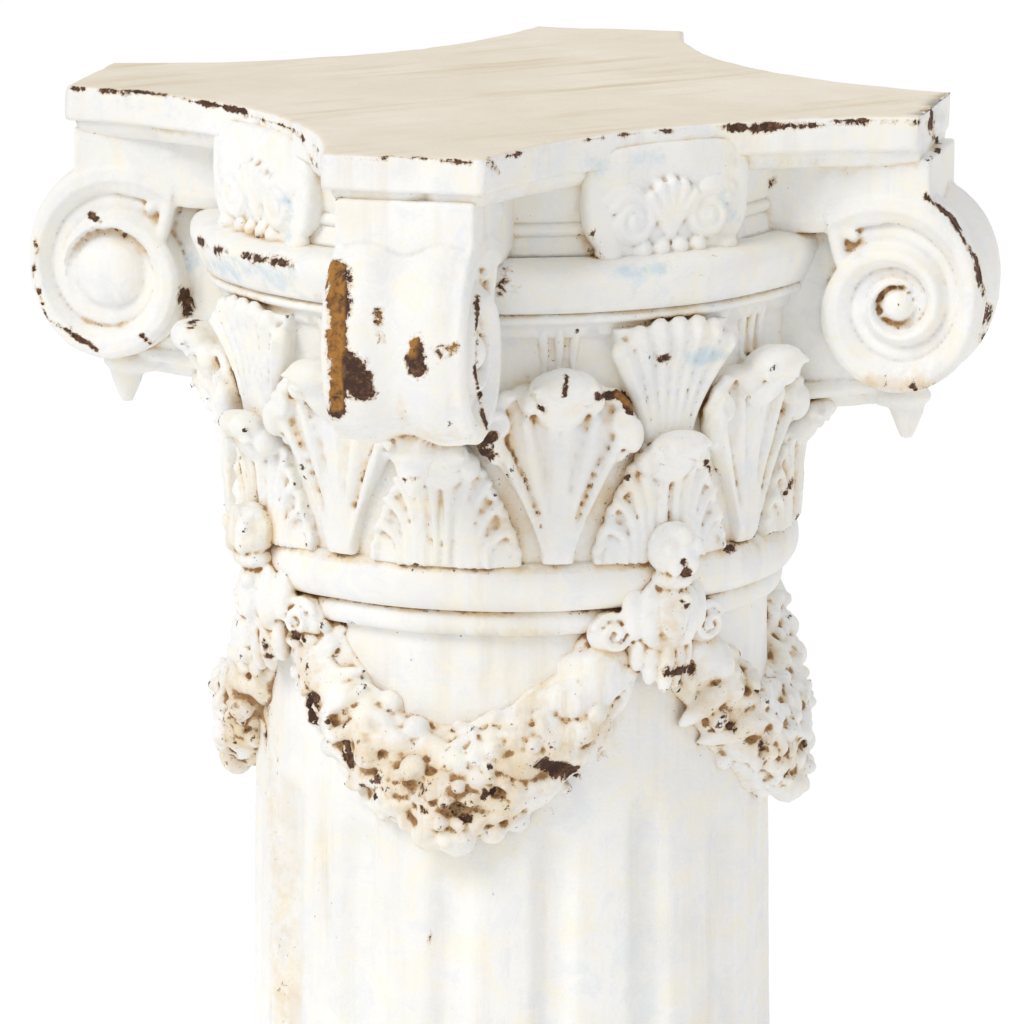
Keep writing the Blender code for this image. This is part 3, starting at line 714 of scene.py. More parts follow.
def hanging_leaf(angle):
    """The leaf under a scroll: a keel with two ribs and a drooping tip."""
    inner = float(bell_radius(OVOLO_BOTTOM)) - 0.012
    keel = []
    for share in np.linspace(0, 1, 14):
        radius = mix(inner, EYE_R + 0.009, share)
        bottom = EYE_Z - mix(0.054, 0.050, math.sin(share * QUARTER))
        crest = mix(TOP_UNDERSIDE - 0.012, EYE_Z + 0.036, share)
        wide = 0.025 * mix(1.0, 0.42, share ** 1.2)
        sides = np.linspace(-1, 1, 15)
        z = bottom + (crest - bottom) * abs(sides) ** 2.2 * 0.35
        keel.append(np.concatenate([at(angle, radius, z, sides * wide * 0.9),
                                    at(angle, radius, crest, np.array([0.8, -0.8]) * wide)]))
    forms = [loft(keel)]
    share = np.linspace(0, 1, 12)
    for across in (-0.013, 0.0, 0.013):
        path = at(angle, mix(inner + 0.012, EYE_R - 0.002, share),
                  EYE_Z - 0.0525 + 0.005 * share + abs(across) * 0.5, across * (1 - 0.6 * share))
        forms.append(tube(path, mix(0.0045, 0.003, share), 8, facing=(0, 0, 1)))
    drop = []
    for size, level in ((1.0, 0.010), (1.0, 0.002), (0.80, -0.006), (0.52, -0.012), (0.28, -0.017)):
        a = np.arange(14) * 2 * math.pi / 14
        drop.append(at(angle, EYE_R + 0.009 * size * np.cos(a), EYE_Z - 0.050 + level,
                       0.009 * size * np.sin(a)))
    forms.append(loft(drop))
    forms.append(egg(angle, EYE_R - 0.004, EYE_Z - 0.047, 0.0, 0.012, 0.016, 0.006))
    return forms


EYES = {"left": (135, 0.0165), "front": (225, 0.0085), "right": (315, 0.0075), "back": (45, 0.0120)}
for corner, (degrees, eye) in EYES.items():
    angle = math.radians(degrees)
    forms = [scroll(angle, eye), stem(angle)] + husks(angle) + hanging_leaf(angle)
    volute = melt(loose(f"volute_{corner}", forms), grain=0.00118, soften=2)
    cast(lumps(volute, size=0.022, depth=0.0010), share=0.50)

# %% [markdown]
# ## Leaves
# A low leaf is a soft sheet with lines that rise from its foot like a fountain, a rope along its
# scalloped edge and a tip that rolls forward. A high leaf has a narrow foot and fans out like a
# shell, with a curl at each shoulder. Every rib is a tube on a curved path that hugs the bell, so
# one helper makes them all, and the ring tree repeats each finished leaf.

# %% Fingers and blades
LEAF_STAND = 0.0062


def on_bell(angle, across, z, out):
    """Points that follow the bell's curve: sideways, height, and how far out they stand."""
    radius = bell_radius(z) + out
    return at(angle + across / radius, radius, z)


def finger(start, bend, end, thin, thick, out_start, out_end, sides=10):
    """A tapering roll on the bell along a curve with one bend."""
    share = np.linspace(0, 1, 16)[:, None]
    start, bend, end = (np.array(place) for place in (start, bend, end))
    way = (1 - share) ** 2 * start + 2 * share * (1 - share) * bend + share ** 2 * end
    share = share[:, 0]
    out = mix(out_start, out_end, share ** 2.5)
    path = on_bell(0.0, way[:, 0], way[:, 1] + BELL_BOTTOM, out)
    return tube(path, mix(thin, thick, ease(share)), sides, 0.8)


def blade(rows, crown, ribs=(), rise=0.0, columns=41):
    """The sheet of a leaf: rows of height, half width and stand. Ribs are shares of the half width."""
    share = np.linspace(-1, 1, columns)
    ribbed = sum(np.exp(-((abs(share) - place) / 0.07) ** 2) for place in ribs) * rise
    rings = []
    for z, half, stand in rows:
        out = stand - crown * abs(share) ** 2.5 + ribbed
        front = on_bell(0.0, share * half, z + BELL_BOTTOM, out)
        back = on_bell(0.0, np.array([0.95, -0.95]) * half, z + BELL_BOTTOM, -0.004)
        rings.append(np.concatenate([front, back]))
    return loft(rings)


def outline_rows(levels, halves, stand, lean, steps=30):
    """Even rows up a leaf from a few heights and half widths; it leans out towards its tip."""
    z = np.linspace(levels[0], levels[-1], steps)
    half = np.interp(z, levels, halves)
    share = (z - levels[0]) / (levels[-1] - levels[0])
    return list(zip(z, half, stand + lean * share ** 2.2))


def tip(z, out, wide, deep, tall):
    """The rolled tip of a leaf: a lip over a swelling, with a small ear on each side."""
    radius = float(bell_radius(BELL_BOTTOM + z)) + out
    level = BELL_BOTTOM + z
    forms = [egg(0.0, radius - 0.0075, level - 0.007, 0.0, wide * 0.86, deep * 0.9, tall * 2.0, 0.5),
             egg(0.0, radius, level, 0.0, wide, deep, tall, -0.22)]
    for hand in (-1, 1):
        forms.append(egg(0.0, radius - 0.0055, level - 0.0070, hand * wide * 0.92, 0.0050, 0.0068, 0.0066))
        share = np.linspace(0, 1, 16)
        turn = share * 5.6 + 0.6
        shrink = 1 - 0.5 * share
        path = at(0.0, radius + deep * 0.62 - 0.0040 * share, level - 0.0035 + 0.0052 * np.sin(turn) * shrink,
                  hand * (wide * 0.62 + 0.0056 * np.cos(turn) * shrink))
        forms.append(tube(path, 0.0015, 7))
    return forms


LOW_LEVELS = np.array([-0.0015, 0.010, 0.020, 0.030, 0.040, 0.050, 0.057])
LOW_HALVES = np.array([0.0365, 0.0345, 0.0308, 0.0262, 0.0210, 0.0155, 0.0120])
LOW_LOBE = 0.0092
# each rib: its foot and its end sideways, and the height of its end
LOW_RIBS = ((0.0210, 0.0310, 0.0170), (0.0165, 0.0272, 0.0290), (0.0125, 0.0222, 0.0390),
            (0.0085, 0.0160, 0.0480))


def low_edge(z):
    """Half width of a low leaf with its scalloped edge."""
    return np.interp(z, LOW_LEVELS, LOW_HALVES) - 0.0022 * (1 - abs(np.sin(z / LOW_LOBE * math.pi))) ** 1.5


def low_leaf():
    """A palmette on the foot of the bell: a soft sheet, lines like a fountain, a rope along its edge."""
    rows = [(z, low_edge(z), stand) for z, half, stand in
            outline_rows(LOW_LEVELS, LOW_HALVES, LEAF_STAND - 0.0006, 0.0030, 44)]
    forms = [blade(rows, 0.0026)]
    z = np.linspace(0.001, 0.054, 60)
    for hand in (-1, 1):
        rope = on_bell(0.0, hand * (low_edge(z) - 0.0012), z + BELL_BOTTOM,
                       LEAF_STAND - 0.0022 + 0.0009 * np.sin(z / 0.0031 * math.pi))
        forms.append(tube(rope, 0.0019 + 0.0006 * np.sin(z / 0.0023 * math.pi), 8))
        for foot, x, height in LOW_RIBS:
            forms.append(finger((hand * foot, -0.001), (hand * foot * 0.85, height * 0.72),
                                (hand * x, height), 0.0014, 0.0021,
                                LEAF_STAND + 0.0001, LEAF_STAND - 0.0001, 7))
        forms.append(finger((hand * 0.0026, 0.001), (hand * 0.0026, 0.026), (hand * 0.0045, 0.050),
                            0.0016, 0.0022, LEAF_STAND + 0.0010, LEAF_STAND + 0.0040, 8))
    return forms + tip(0.0540, 0.0140, 0.0150, 0.0100, 0.0068)


HIGH_LEVELS = np.array([0.0, 0.008, 0.020, 0.032, 0.045, 0.055, 0.062, 0.070, 0.078, 0.084])
HIGH_HALVES = np.array([0.0072, 0.0080, 0.0120, 0.0180, 0.0262, 0.0318, 0.0338, 0.0325, 0.0270, 0.0190])
# each rib: its foot, its bend and its end sideways, and the height of its end
HIGH_RIBS = ((0.0014, 0.0020, 0.0036, 0.080), (0.0030, 0.0075, 0.0165, 0.068),
             (0.0056, 0.0150, 0.0290, 0.060))


def high_leaf():
    """A shell-shaped leaf with a narrow foot, a broad ribbed fan and a heavy rolled tip."""
    forms = [blade(outline_rows(HIGH_LEVELS, HIGH_HALVES, LEAF_STAND - 0.0022, 0.0060, 40), 0.0012,
                   (0.10, 0.50, 0.90), 0.0030)]
    for hand in (-1, 1):
        for foot, bend, end, height in HIGH_RIBS:
            forms.append(finger((hand * foot, 0.004), (hand * bend, height * 0.55), (hand * end, height),
                                0.0014, 0.0026, LEAF_STAND - 0.0006, LEAF_STAND + 0.0042, 7))
        z = np.linspace(0.050, 0.080, 20)
        edge = np.interp(z, HIGH_LEVELS, HIGH_HALVES)
        forms.append(tube(on_bell(0.0, hand * edge, z + BELL_BOTTOM, LEAF_STAND - 0.001 + (z - 0.05) * 0.1),
                          0.0030 + 0.0007 * np.sin(z / 0.0040 * math.pi), 8))
        forms.append(egg(0.0, float(bell_radius(BELL_BOTTOM + 0.06)) + 0.0075, BELL_BOTTOM + 0.0600,
                         hand * 0.0335, 0.0050, 0.0055, 0.0090, 0.3))
        share = np.linspace(0, 1, 16)
        turn = 0.8 + share * 5.2
        path = at(0.0, float(bell_radius(BELL_BOTTOM + 0.07)) + 0.0095,
                  BELL_BOTTOM + 0.0665 + 0.0062 * np.sin(turn) * (1 - 0.60 * share),
                  hand * (0.0285 + 0.0050 * np.cos(turn) * (1 - 0.60 * share)))
        forms.append(tube(path, 0.0020, 7))
        forms.append(egg(0.0, float(bell_radius(BELL_BOTTOM + 0.066)) + 0.0058, BELL_BOTTOM + 0.0662,
                         hand * 0.0285, 0.0060, 0.0052, 0.0068, 0.2))
    for across in (-0.0062, 0.0, 0.0062):
        forms.append(finger((across, 0.086), (across, 0.098), (across * 1.3, 0.109), 0.0020, 0.0027,
                            0.0008, 0.0022, 8))
    return forms + tip(0.0850, 0.0165, 0.0162, 0.0118, 0.0082)


def fan():
    """The ribbed fan behind a face's low leaf, its lip against the ovolo."""
    rows = []
    for share in np.linspace(0, 1, 12):
        half = mix(0.011, 0.0305, share ** 0.8)
        rows.append((mix(0.040, 0.1085, share), half, LEAF_STAND - 0.003 + 0.007 * share ** 2.2))
    forms = [blade(rows, 0.002)]
    for x, z in ((0.0, 0.109), (0.0100, 0.1085), (0.0200, 0.1060), (0.0290, 0.0990)):
        for hand in ((-1, 1) if x else (1,)):
            foot, middle = (hand * x * 0.25, 0.042), mix(0.042, z, 0.6)
            forms.append(finger(foot, (hand * x * 0.45, middle), (hand * x, z),
                                0.0022, 0.0054, LEAF_STAND - 0.003, LEAF_STAND + 0.0040))
            forms.append(finger(foot, (hand * x * 0.47, middle), (hand * x, z * 0.985),
                                0.0012, 0.0015, LEAF_STAND, LEAF_STAND + 0.0088, 6))
    return forms


step = 2 * math.pi / 8
tiers = [ring_of(loose("low_leaves", low_leaf()), 8), ring_of(loose("high_leaves", high_leaf()), 8, step / 2),
         ring_of(loose("fans", fan()), 4)]
for tier, grain in zip(tiers, (0.00125, 0.00135, 0.00135)):
    cast(lumps(melt(tier, grain, soften=2), size=0.02, depth=0.0008), share=0.60)

# %% [markdown]
# ## Fleurons
# In the middle of each side of the top sits a block with two curls, a small palmette between them
# and a row of beads below. The curls are tubes on a spiral that runs in to a round eye.

# %% Fleuron
def curl_path(radius, z, across, size, hand, turns, rise):
    """A flat spiral that starts at its rim and runs in to its eye."""
    share = np.linspace(0, 1, 40)
    a = share * turns * 2 * math.pi + 0.6
    reach = size * (1 - share * 0.80)
    return at(0.0, radius + rise * share, z + reach * np.sin(a), across + hand * reach * np.cos(a))


def fleuron():
    """The block and its carving, on the face that looks along X."""
    front = SIDE_REACH + 0.0022
    back = NECK_RADIUS - 0.012
    top, bottom = HEIGHT - 0.0075, HEIGHT - 0.0595
    rings = []
    a = np.linspace(0, 2 * math.pi, 56, endpoint=False)
    for radius, share in ((back, 0.90), (mix(back, front, 0.5), 0.97), (front - 0.004, 1.0),
                          (front - 0.0012, 0.985), (front, 0.94), (front + 0.0004, 0.6)):
        wide = np.sign(np.cos(a)) * abs(np.cos(a)) ** 0.42 * 0.0440 * share
        level = np.sign(np.sin(a)) * abs(np.sin(a)) ** 0.42
        wide = wide * mix(1.0, 0.84, np.clip(-level, 0, 1) ** 2)
        share = mix(share, 1.0, np.clip(level, 0, 1) * 0.5)
        rings.append(at(0.0, radius, (top + bottom) / 2 + (top - bottom) / 2 * level * share, wide))
    forms = [loft(rings)]
    curl_z = bottom + 0.0185
    for hand in (-1, 1):
        path = curl_path(front + 0.0004, curl_z, hand * 0.0205, 0.0118, hand, 1.75, 0.0016)
        forms.append(tube(path, mix(0.0030, 0.0018, np.linspace(0, 1, 40)), 8))
        forms.append(egg(0.0, front + 0.0010, curl_z, hand * 0.0205, 0.0034, 0.0034, 0.0034))
        path = curl_path(front + 0.0002, curl_z + 0.001, hand * 0.0205, 0.0162, hand, 0.55, 0.0)
        forms.append(tube(path, 0.0021, 8))
    for lean in (-1.0, -0.5, 0.0, 0.5, 1.0):
        share = np.linspace(0, 1, 8)
        tip = np.array([math.sin(lean * 0.75) * 0.017, 0.003 + math.cos(lean * 0.75) * 0.021])
        path = at(0.0, front + 0.0008 + 0.0016 * share, curl_z - 0.008 + tip[1] * share, tip[0] * share)
        forms.append(tube(path, mix(0.0016, 0.0030, share), 8))
    for k in range(4):
        forms.append(egg(0.0, front + 0.0006, bottom + 0.0040, (k - 1.5) * 0.0098, 0.0043, 0.0036, 0.0046))
    for hand in (-1, 1):
        forms.append(egg(0.0, front - 0.003, bottom + 0.003, hand * 0.031, 0.007, 0.006, 0.005))
    return forms


fleurons = melt(ring_of(loose("fleurons", fleuron()), 4), grain=0.0012, soften=1)
cast(lumps(fleurons, size=0.02, depth=0.0006), share=0.65)

# %% [markdown]
# ## Pendants
# A bud sits on the torus in the middle of each face, with a bell flower hanging from it. Petals
# are long blobs that lean outward at their tips. Beside the flower, two curls cover the ends of
# the swags.

# %% Bud, bell flower and curls
TORUS_REACH = SHAFT_RADIUS + 0.015
CURL_TURN = math.radians(10)
# each petal: its place sideways, its drop, its length, its lean and its width
UPPER_PETALS = ((-0.0160, 0.0140, 0.0125, 0.16, 0.0066), (0.0160, 0.0130, 0.0135, 0.16, 0.0062),
                (-0.0090, 0.0155, 0.0150, 0.04, 0.0070), (0.0085, 0.0165, 0.0150, 0.0, 0.0074),
                (-0.0005, 0.0130, 0.0150, 0.08, 0.0078))
# each tip below: its place sideways, its drop and its length
LOWER_PETALS = ((-0.0135, 0.0330, 0.0100), (-0.0078, 0.0370, 0.0125), (-0.0015, 0.0395, 0.0140),
                (0.0052, 0.0385, 0.0140), (0.0110, 0.0355, 0.0120))


def pendant():
    """The bud, its hanging flower and the two curls beside it."""
    bud_r, bud_z = TORUS_REACH + 0.0055, BELL_BOTTOM + 0.0048
    forms = [egg(0.0, bud_r, bud_z, 0.0, 0.0128, 0.0122, 0.0130)]
    for k in range(5):
        a = k * 2 * math.pi / 5 + 0.3
        forms.append(egg(0.0, bud_r + 0.0078, bud_z + 0.0072 * math.sin(a), 0.0072 * math.cos(a),
                         0.0042, 0.0040, 0.0048))
    forms.append(egg(0.0, bud_r - 0.001, bud_z - 0.0135, 0.0, 0.0098, 0.0100, 0.0052))
    flower_r = SHAFT_RADIUS + 0.009
    crown_z = bud_z - 0.015
    forms.append(egg(0.0, flower_r + 0.001, crown_z - 0.018, 0.0, 0.0165, 0.0125, 0.0225))
    for across, drop, long, lean, wide in UPPER_PETALS:
        deep = flower_r + 0.0125 - abs(across) * 0.55
        forms.append(egg(0.0, deep, crown_z - drop, across, wide, 0.0055, long, -lean))
    for across, drop, long in LOWER_PETALS:
        deep = flower_r + 0.0075 - abs(across) * 0.45
        forms.append(egg(0.0, deep, crown_z - drop, across, 0.0040, 0.0052, long, 0.10))
    forms.append(egg(0.0, flower_r + 0.0160, crown_z - 0.0080, 0.0035, 0.0036, 0.0036, 0.0036))
    for hand in (-1, 1):
        turn = hand * CURL_TURN
        share = np.linspace(0, 1, 30)
        a = share * 1.55 * 2 * math.pi + 0.4
        reach = 0.0096 * (1 - 0.80 * share)
        centre_r = SHAFT_RADIUS + 0.0080
        path = at(turn, centre_r + 0.0038 + 0.0050 * share, RING_BOTTOM + 0.001 + reach * np.sin(a),
                  hand * (0.0025 + reach * np.cos(a)))
        forms.append(tube(path, mix(0.0022, 0.0015, share), 8))
        forms.append(egg(turn, centre_r - 0.0005, RING_BOTTOM + 0.001, hand * 0.0025, 0.0112, 0.0078, 0.0112))
        forms.append(egg(turn, SHAFT_RADIUS + 0.0045, RING_BOTTOM - 0.0160, hand * 0.0045,
                         0.0112, 0.0080, 0.0108))
    return forms


pendants = melt(ring_of(loose("pendants", pendant()), 4), grain=0.0011, soften=1)
cast(lumps(pendants, size=0.010, depth=0.0014), share=0.62)

# %% [markdown]
# ## Swags
# Fruit, petals and leaves are heaped along a hanging curve. The heap's core is a thick tube, and
# a second tree scatters small forms over it. Each lies along the swag and is turned a little at
# random with a fixed seed. A few flowers are placed one by one, because a real modeller puts the
# best ones in the middle.

# %% The swag's core
SWAG_SPAN = math.pi / 4 - CURL_TURN


def swag_height(share):
    """Height of the swag's middle line, with the share running from -1 to 1 along it."""
    return RING_BOTTOM - 0.012 - 0.058 * (1 - abs(share) ** 1.8)


def on_swag(share, up, out):
    """A point on the swag: along it, above its middle line, and out from the shaft."""
    z = swag_height(share) + up
    return at(share * SWAG_SPAN, shaft_radius(z) + out, z)


def swag_core():
    """The thick tube under the fruit, fullest in the middle."""
    share = np.linspace(-1.02, 1.02, 40)
    full = 1 - np.clip(abs(share), 0, 1) ** 1.5
    rings = []
    turn = np.arange(20) * 2 * math.pi / 20
    for k, (s, f) in enumerate(zip(share, full)):
        tall, proud = mix(0.0150, 0.0245, f), mix(0.0095, 0.0190, f)
        slope = math.atan2(swag_height(s + 0.01) - swag_height(s - 0.01), 0.02 * SWAG_SPAN * SHAFT_RADIUS)
        up = tall * np.sin(turn)
        out = np.maximum(proud * np.cos(turn), -0.003)
        z = swag_height(s) + up * math.cos(slope)
        angle = s * SWAG_SPAN - up * math.sin(slope) / (SHAFT_RADIUS + proud)
        rings.append(at(angle, shaft_radius(z) + out, z))
    return loft(rings)


# %% Small forms for the heap
def petal(long, wide, thick):
    """A cupped petal that lies along X."""
    share = np.linspace(-1, 1, 7)
    width = wide * np.sqrt(np.clip(1.05 - share ** 2, 0, 1))
    turn = np.arange(8) * QUARTER / 2
    rings = [np.stack([np.full(8, s * long), w * np.cos(turn),
                       w * thick / wide * np.sin(turn) - long * 0.06 * s * s], -1)
             for s, w in zip(share, width)]
    return loft(rings)


def bloom(size, petals, cup=0.2):
    """A small open flower that looks along Z."""
    forms = [blob((0, 0, size * 0.30), (size * 0.30, 0, 0), (0, size * 0.30, 0), (0, 0, size * 0.30), 6, 8)]
    for k in range(petals):
        a = k * 2 * math.pi / petals
        away_from = np.array([math.cos(a), math.sin(a), cup])
        beside = np.array([-math.sin(a), math.cos(a), 0])
        forms.append(blob(away_from * size * 0.62, away_from * size * 0.42, beside * size * 0.33,
                          np.array([0, 0, size * 0.20]), 5, 8))
    return forms


def ball(size):
    """A berry."""
    return [blob((0, 0, size * 0.25), (size, 0, 0), (0, size, 0), (0, 0, size * 0.8), 6, 8)]


def placed(forms, share, up, out, grow=1.0):
    """Moves forms that look along Z onto the swag, looking outward."""
    spot = on_swag(share, up, out)
    outward = unit(spot * [1, 1, 0])
    upward = np.array([0, 0, 1.0])
    sideways = np.cross(upward, outward)
    frame_of = np.stack([sideways, upward, outward])
    return [(spot + (points * grow) @ frame_of, faces) for points, faces in forms]


heap = bpy.data.collections.new("fruit_and_petals")
scene.collection.children.link(heap)
SMALL_FORMS = {"petal": [petal(0.0135, 0.0072, 0.0042)], "leaf": [petal(0.0190, 0.0056, 0.0040)],
               "berry": ball(0.0072), "flower": bloom(0.0135, 5), "stem": [petal(0.0180, 0.0042, 0.0038)]}
for name, forms in SMALL_FORMS.items():
    small = loose(name, forms)
    scene.collection.objects.unlink(small)
    heap.objects.link(small)

# %% A tree that heaps small forms on a surface
MOST_PER_SQUARE_METRE = 60000
MOST_SPIN = 0.75


def heap_tree():
    """Scatters a collection's objects over a surface and joins them with it."""
    tree = bpy.data.node_groups.new("heap_of_fruit", "GeometryNodeTree")
    sockets(tree, (("Geometry", "Geometry"), ("Small forms", "Collection"), ("Spacing", "Float"),
                   ("Smallest", "Float"), ("Largest", "Float"), ("Seed", "Int"), ("Paint", "Material")))
    new = tree.nodes.new
    given, made = new("NodeGroupInput"), new("NodeGroupOutput")
    spread, forms = new("GeometryNodeDistributePointsOnFaces"), new("GeometryNodeCollectionInfo")
    copies = new("GeometryNodeInstanceOnPoints")
    pick, size, spin = (new("FunctionNodeRandomValue") for _ in range(3))
    turn, twist = new("ShaderNodeCombineXYZ"), new("FunctionNodeRotateRotation")
    spot, flow = new("GeometryNodeInputPosition"), new("ShaderNodeVectorMath")
    follow, real = new("FunctionNodeAlignRotationToVector"), new("GeometryNodeRealizeInstances")
    both, paint = new("GeometryNodeJoinGeometry"), new("GeometryNodeSetMaterial")
    spread.distribute_method = "POISSON"
    spread.inputs["Density Max"].default_value = MOST_PER_SQUARE_METRE
    forms.inputs["Separate Children"].default_value = True
    forms.inputs["Reset Children"].default_value = True
    copies.inputs["Pick Instance"].default_value = True
    pick.data_type = "INT"
    pick.inputs[4].default_value = 0
    pick.inputs[5].default_value = len(SMALL_FORMS) - 1
    size.data_type = spin.data_type = "FLOAT"
    spin.inputs[2].default_value = -MOST_SPIN
    spin.inputs[3].default_value = MOST_SPIN
    flow.operation = "CROSS_PRODUCT"
    flow.inputs[0].default_value = (0, 0, 1)
    follow.axis, follow.pivot_axis = "X", "Z"
    twist.rotation_space = "LOCAL"
    wire(tree, (
        (given, "Geometry", spread, "Mesh"), (given, "Spacing", spread, "Distance Min"),
        (given, "Seed", spread, "Seed"), (given, "Small forms", forms, "Collection"),
        (spread, "Points", copies, "Points"), (forms, 0, copies, "Instance"), (given, "Seed", pick, "Seed"),
        (given, "Seed", size, "Seed"), (given, "Seed", spin, "Seed"), (pick, 2, copies, "Instance Index"),
        (given, "Smallest", size, 2), (given, "Largest", size, 3), (size, 1, copies, "Scale"),
        (spin, 1, turn, "Z"), (spot, 0, flow, 1), (flow, 0, follow, "Vector"),
        (spread, "Rotation", follow, "Rotation"), (follow, 0, twist, "Rotation"),
        (turn, 0, twist, "Rotate By"), (twist, 0, copies, "Rotation"), (copies, 0, both, 0),
        (given, "Geometry", both, 0), (both, 0, real, 0), (real, 0, paint, "Geometry"),
        (given, "Paint", paint, "Material"), (paint, 0, made, 0)))
    return tree


# %% Four swags
swags = ring_of(loose("swags", [swag_core()]), 4, math.pi / 4)
heaping = swags.modifiers.new("heap", "NODES")
heaping.node_group = heap_tree()
give(heaping, {"Small forms": heap, "Spacing": 0.0112, "Smallest": 0.70, "Largest": 1.05, "Seed": 4,
               "Paint": WHITE})
heaped = evaluated(swags)
bpy.data.objects.remove(swags)
for small in list(heap.objects):
    bpy.data.objects.remove(small)
bpy.data.collections.remove(heap)
swags = bpy.data.objects.new("swags", heaped)
scene.collection.objects.link(swags)

chosen = placed(bloom(0.0135, 5), 0.0, -0.013, 0.0180)
chosen += placed(bloom(0.0120, 6), 0.50, 0.006, 0.0140) + placed(bloom(0.0120, 5), -0.48, 0.004, 0.0140)
chosen += placed(bloom(0.0105, 5), 0.26, 0.008, 0.0175) + placed(bloom(0.0100, 5), -0.28, -0.006, 0.0175)
# each fruit: its share along the swag, its height over the middle line, and its size
MIDDLE_FRUIT = ((-0.08, -0.021, 0.0098), (0.07, -0.022, 0.0104), (0.16, -0.017, 0.0070),
                (0.0, 0.012, 0.0080), (-0.14, 0.010, 0.0060), (0.15, -0.004, 0.0058),
                (0.40, -0.010, 0.0058), (-0.40, 0.008, 0.0056))
END_FRUIT = ((-0.90, 0.004, 0.0125), (-0.74, 0.004, 0.0120), (0.90, 0.005, 0.0135), (0.74, 0.006, 0.0125))
for share, up, size in MIDDLE_FRUIT:
    chosen += placed(ball(size), share, up, 0.0160 - abs(up + 0.004) * 0.35)
for share, up, size in END_FRUIT:
    chosen += placed(ball(size), share, up, 0.0030)
flowers = loose("swag_flowers", chosen)
ring_of(flowers, 4, math.pi / 4)
flower_mesh = evaluated(flowers)
bpy.data.objects.remove(flowers)
form = bmesh.new()
form.from_mesh(swags.data)
form.from_mesh(flower_mesh)
form.to_mesh(swags.data)
form.free()
swags = lumps(melt(swags, grain=0.0013, soften=2), size=0.016, depth=0.0010)
cast(strands(swags, size=0.018, depth=0.0007), share=0.62)

# %% [markdown]
# ## Where dirt gathers and paint chips
# Dirt and old varnish collect in hollows, and paint breaks off at proud edges. Both are measured
# on the mesh. Short rays from each point count how shut in it is, and the difference between the
# surface and a smoothed copy of it says how proud it is. The answers are stored as attributes
# that the paint's nodes read.

# %% Hollows and edges
def arrays(mesh):
    """A mesh's points, normals, edges and triangles as arrays."""
    count = len(mesh.vertices)
    points = np.empty(count * 3, np.float32)
    normals = np.empty(count * 3, np.float32)
    mesh.vertices.foreach_get("co", points)
    mesh.vertices.foreach_get("normal", normals)
    edges = np.empty(len(mesh.edges) * 2, np.int32)
    mesh.edges.foreach_get("vertices", edges)
    return points.reshape(-1, 3).astype(float), normals.reshape(-1, 3).astype(float), edges.reshape(-1, 2)


def averaged(values, edges, rounds):
    """Values that are mixed with those of their neighbours some times over."""
    count = len(values)
    degree = np.bincount(edges.ravel(), minlength=count).astype(float)[:, None]
    values = values.reshape(count, -1).astype(float)
    for _ in range(rounds):
        total = np.stack([np.bincount(edges[:, 0], column[edges[:, 1]], count)
                          + np.bincount(edges[:, 1], column[edges[:, 0]], count) for column in values.T], -1)
        values = values * 0.4 + 0.6 * total / np.maximum(degree, 1)
    return values


def whole_tree():
    """One search tree over every piece."""
    points, triangles, start = [], [], 0
    for piece in PIECES:
        mesh = piece.data
        mesh.calc_loop_triangles()
        corners = np.empty(len(mesh.loop_triangles) * 3, np.int32)
        mesh.loop_triangles.foreach_get("vertices", corners)
        points.append(arrays(mesh)[0])
        triangles.append(corners.reshape(-1, 3) + start)
        start += len(mesh.vertices)
    return BVHTree.FromPolygons(np.concatenate(points).tolist(), np.concatenate(triangles).tolist(),
                                all_triangles=True)


def keep(mesh, name, values):
    """Stores one number a point on a mesh."""
    mesh.attributes.new(name, "FLOAT", "POINT").data.foreach_set("value", values.astype(np.float32).ravel())


SEARCH = 0.009
CLEARANCE = 0.0004
# one ray straight out of the surface, and five that lean round it
WAYS = [(0.0, 0.0, 1.0)]
WAYS += [(math.cos(a) * 0.8, math.sin(a) * 0.8, 0.6) for a in np.arange(5) * 2 * math.pi / 5]
FINE = 0.0013
PROUD_LIMIT = 1.5
# the heaped pieces keep sharp creases: theirs are averaged once, and those of the rest three times
HEAPED = ("swags", "pendants")
tree_of_all = whole_tree()
for piece in PIECES:
    points, normals, edges = arrays(piece.data)
    beside = unit(np.cross(normals, np.where(abs(normals[:, 2:]) < 0.8, [[0, 0, 1.0]], [[1.0, 0, 0]])))
    above = np.cross(beside, normals)
    shut = np.zeros(len(points))
    starts = (points + normals * CLEARANCE).tolist()
    for x, y, z in WAYS:
        aims = (beside * x + above * y + normals * z).tolist()
        found = [tree_of_all.ray_cast(start, way, SEARCH)[3] for start, way in zip(starts, aims)]
        shut += [0.0 if length is None else 1 - length / SEARCH for length in found]
    shut = averaged(shut / len(WAYS), edges, 2)
    lengths = np.repeat(np.linalg.norm(points[edges[:, 0]] - points[edges[:, 1]], axis=1), 2)
    ends = edges.ravel()
    spread = np.bincount(ends, lengths, len(points)) / np.bincount(ends, minlength=len(points))
    proud = ((points - averaged(points, edges, 5)) * normals).sum(1) / MM
    rounds = 1 if piece.name in HEAPED else 3
    proud = averaged(proud / np.maximum(spread / FINE, 0.6) ** 2, edges, rounds)
    keep(piece.data, "shut_in", shut)
    keep(piece.data, "proud", np.clip(proud, -PROUD_LIMIT, PROUD_LIMIT))
    print(piece.name, "shut in up to", round(float(shut.max()), 2),
          "proud up to", round(float(proud.max()), 2), "mm")

# %% [markdown]
# ## The marks of use
# The largest chips, cracks and stains are where the picture shows them. Each mark is a short line
# in the picture's frame, and every point of the surface that lies near that line, at the same
# depth as what the line falls on, takes the mark. The shader breaks its rim up. In the swags the
# chips are small pits too. The gilded marks say where old gold shows inside the widest chips.

# %% Large marks
FOCAL = LENS / 36 * FRAME_PIXELS
view = np.array(camera.matrix_world.to_3x3())
eye_place = np.array(camera.location)
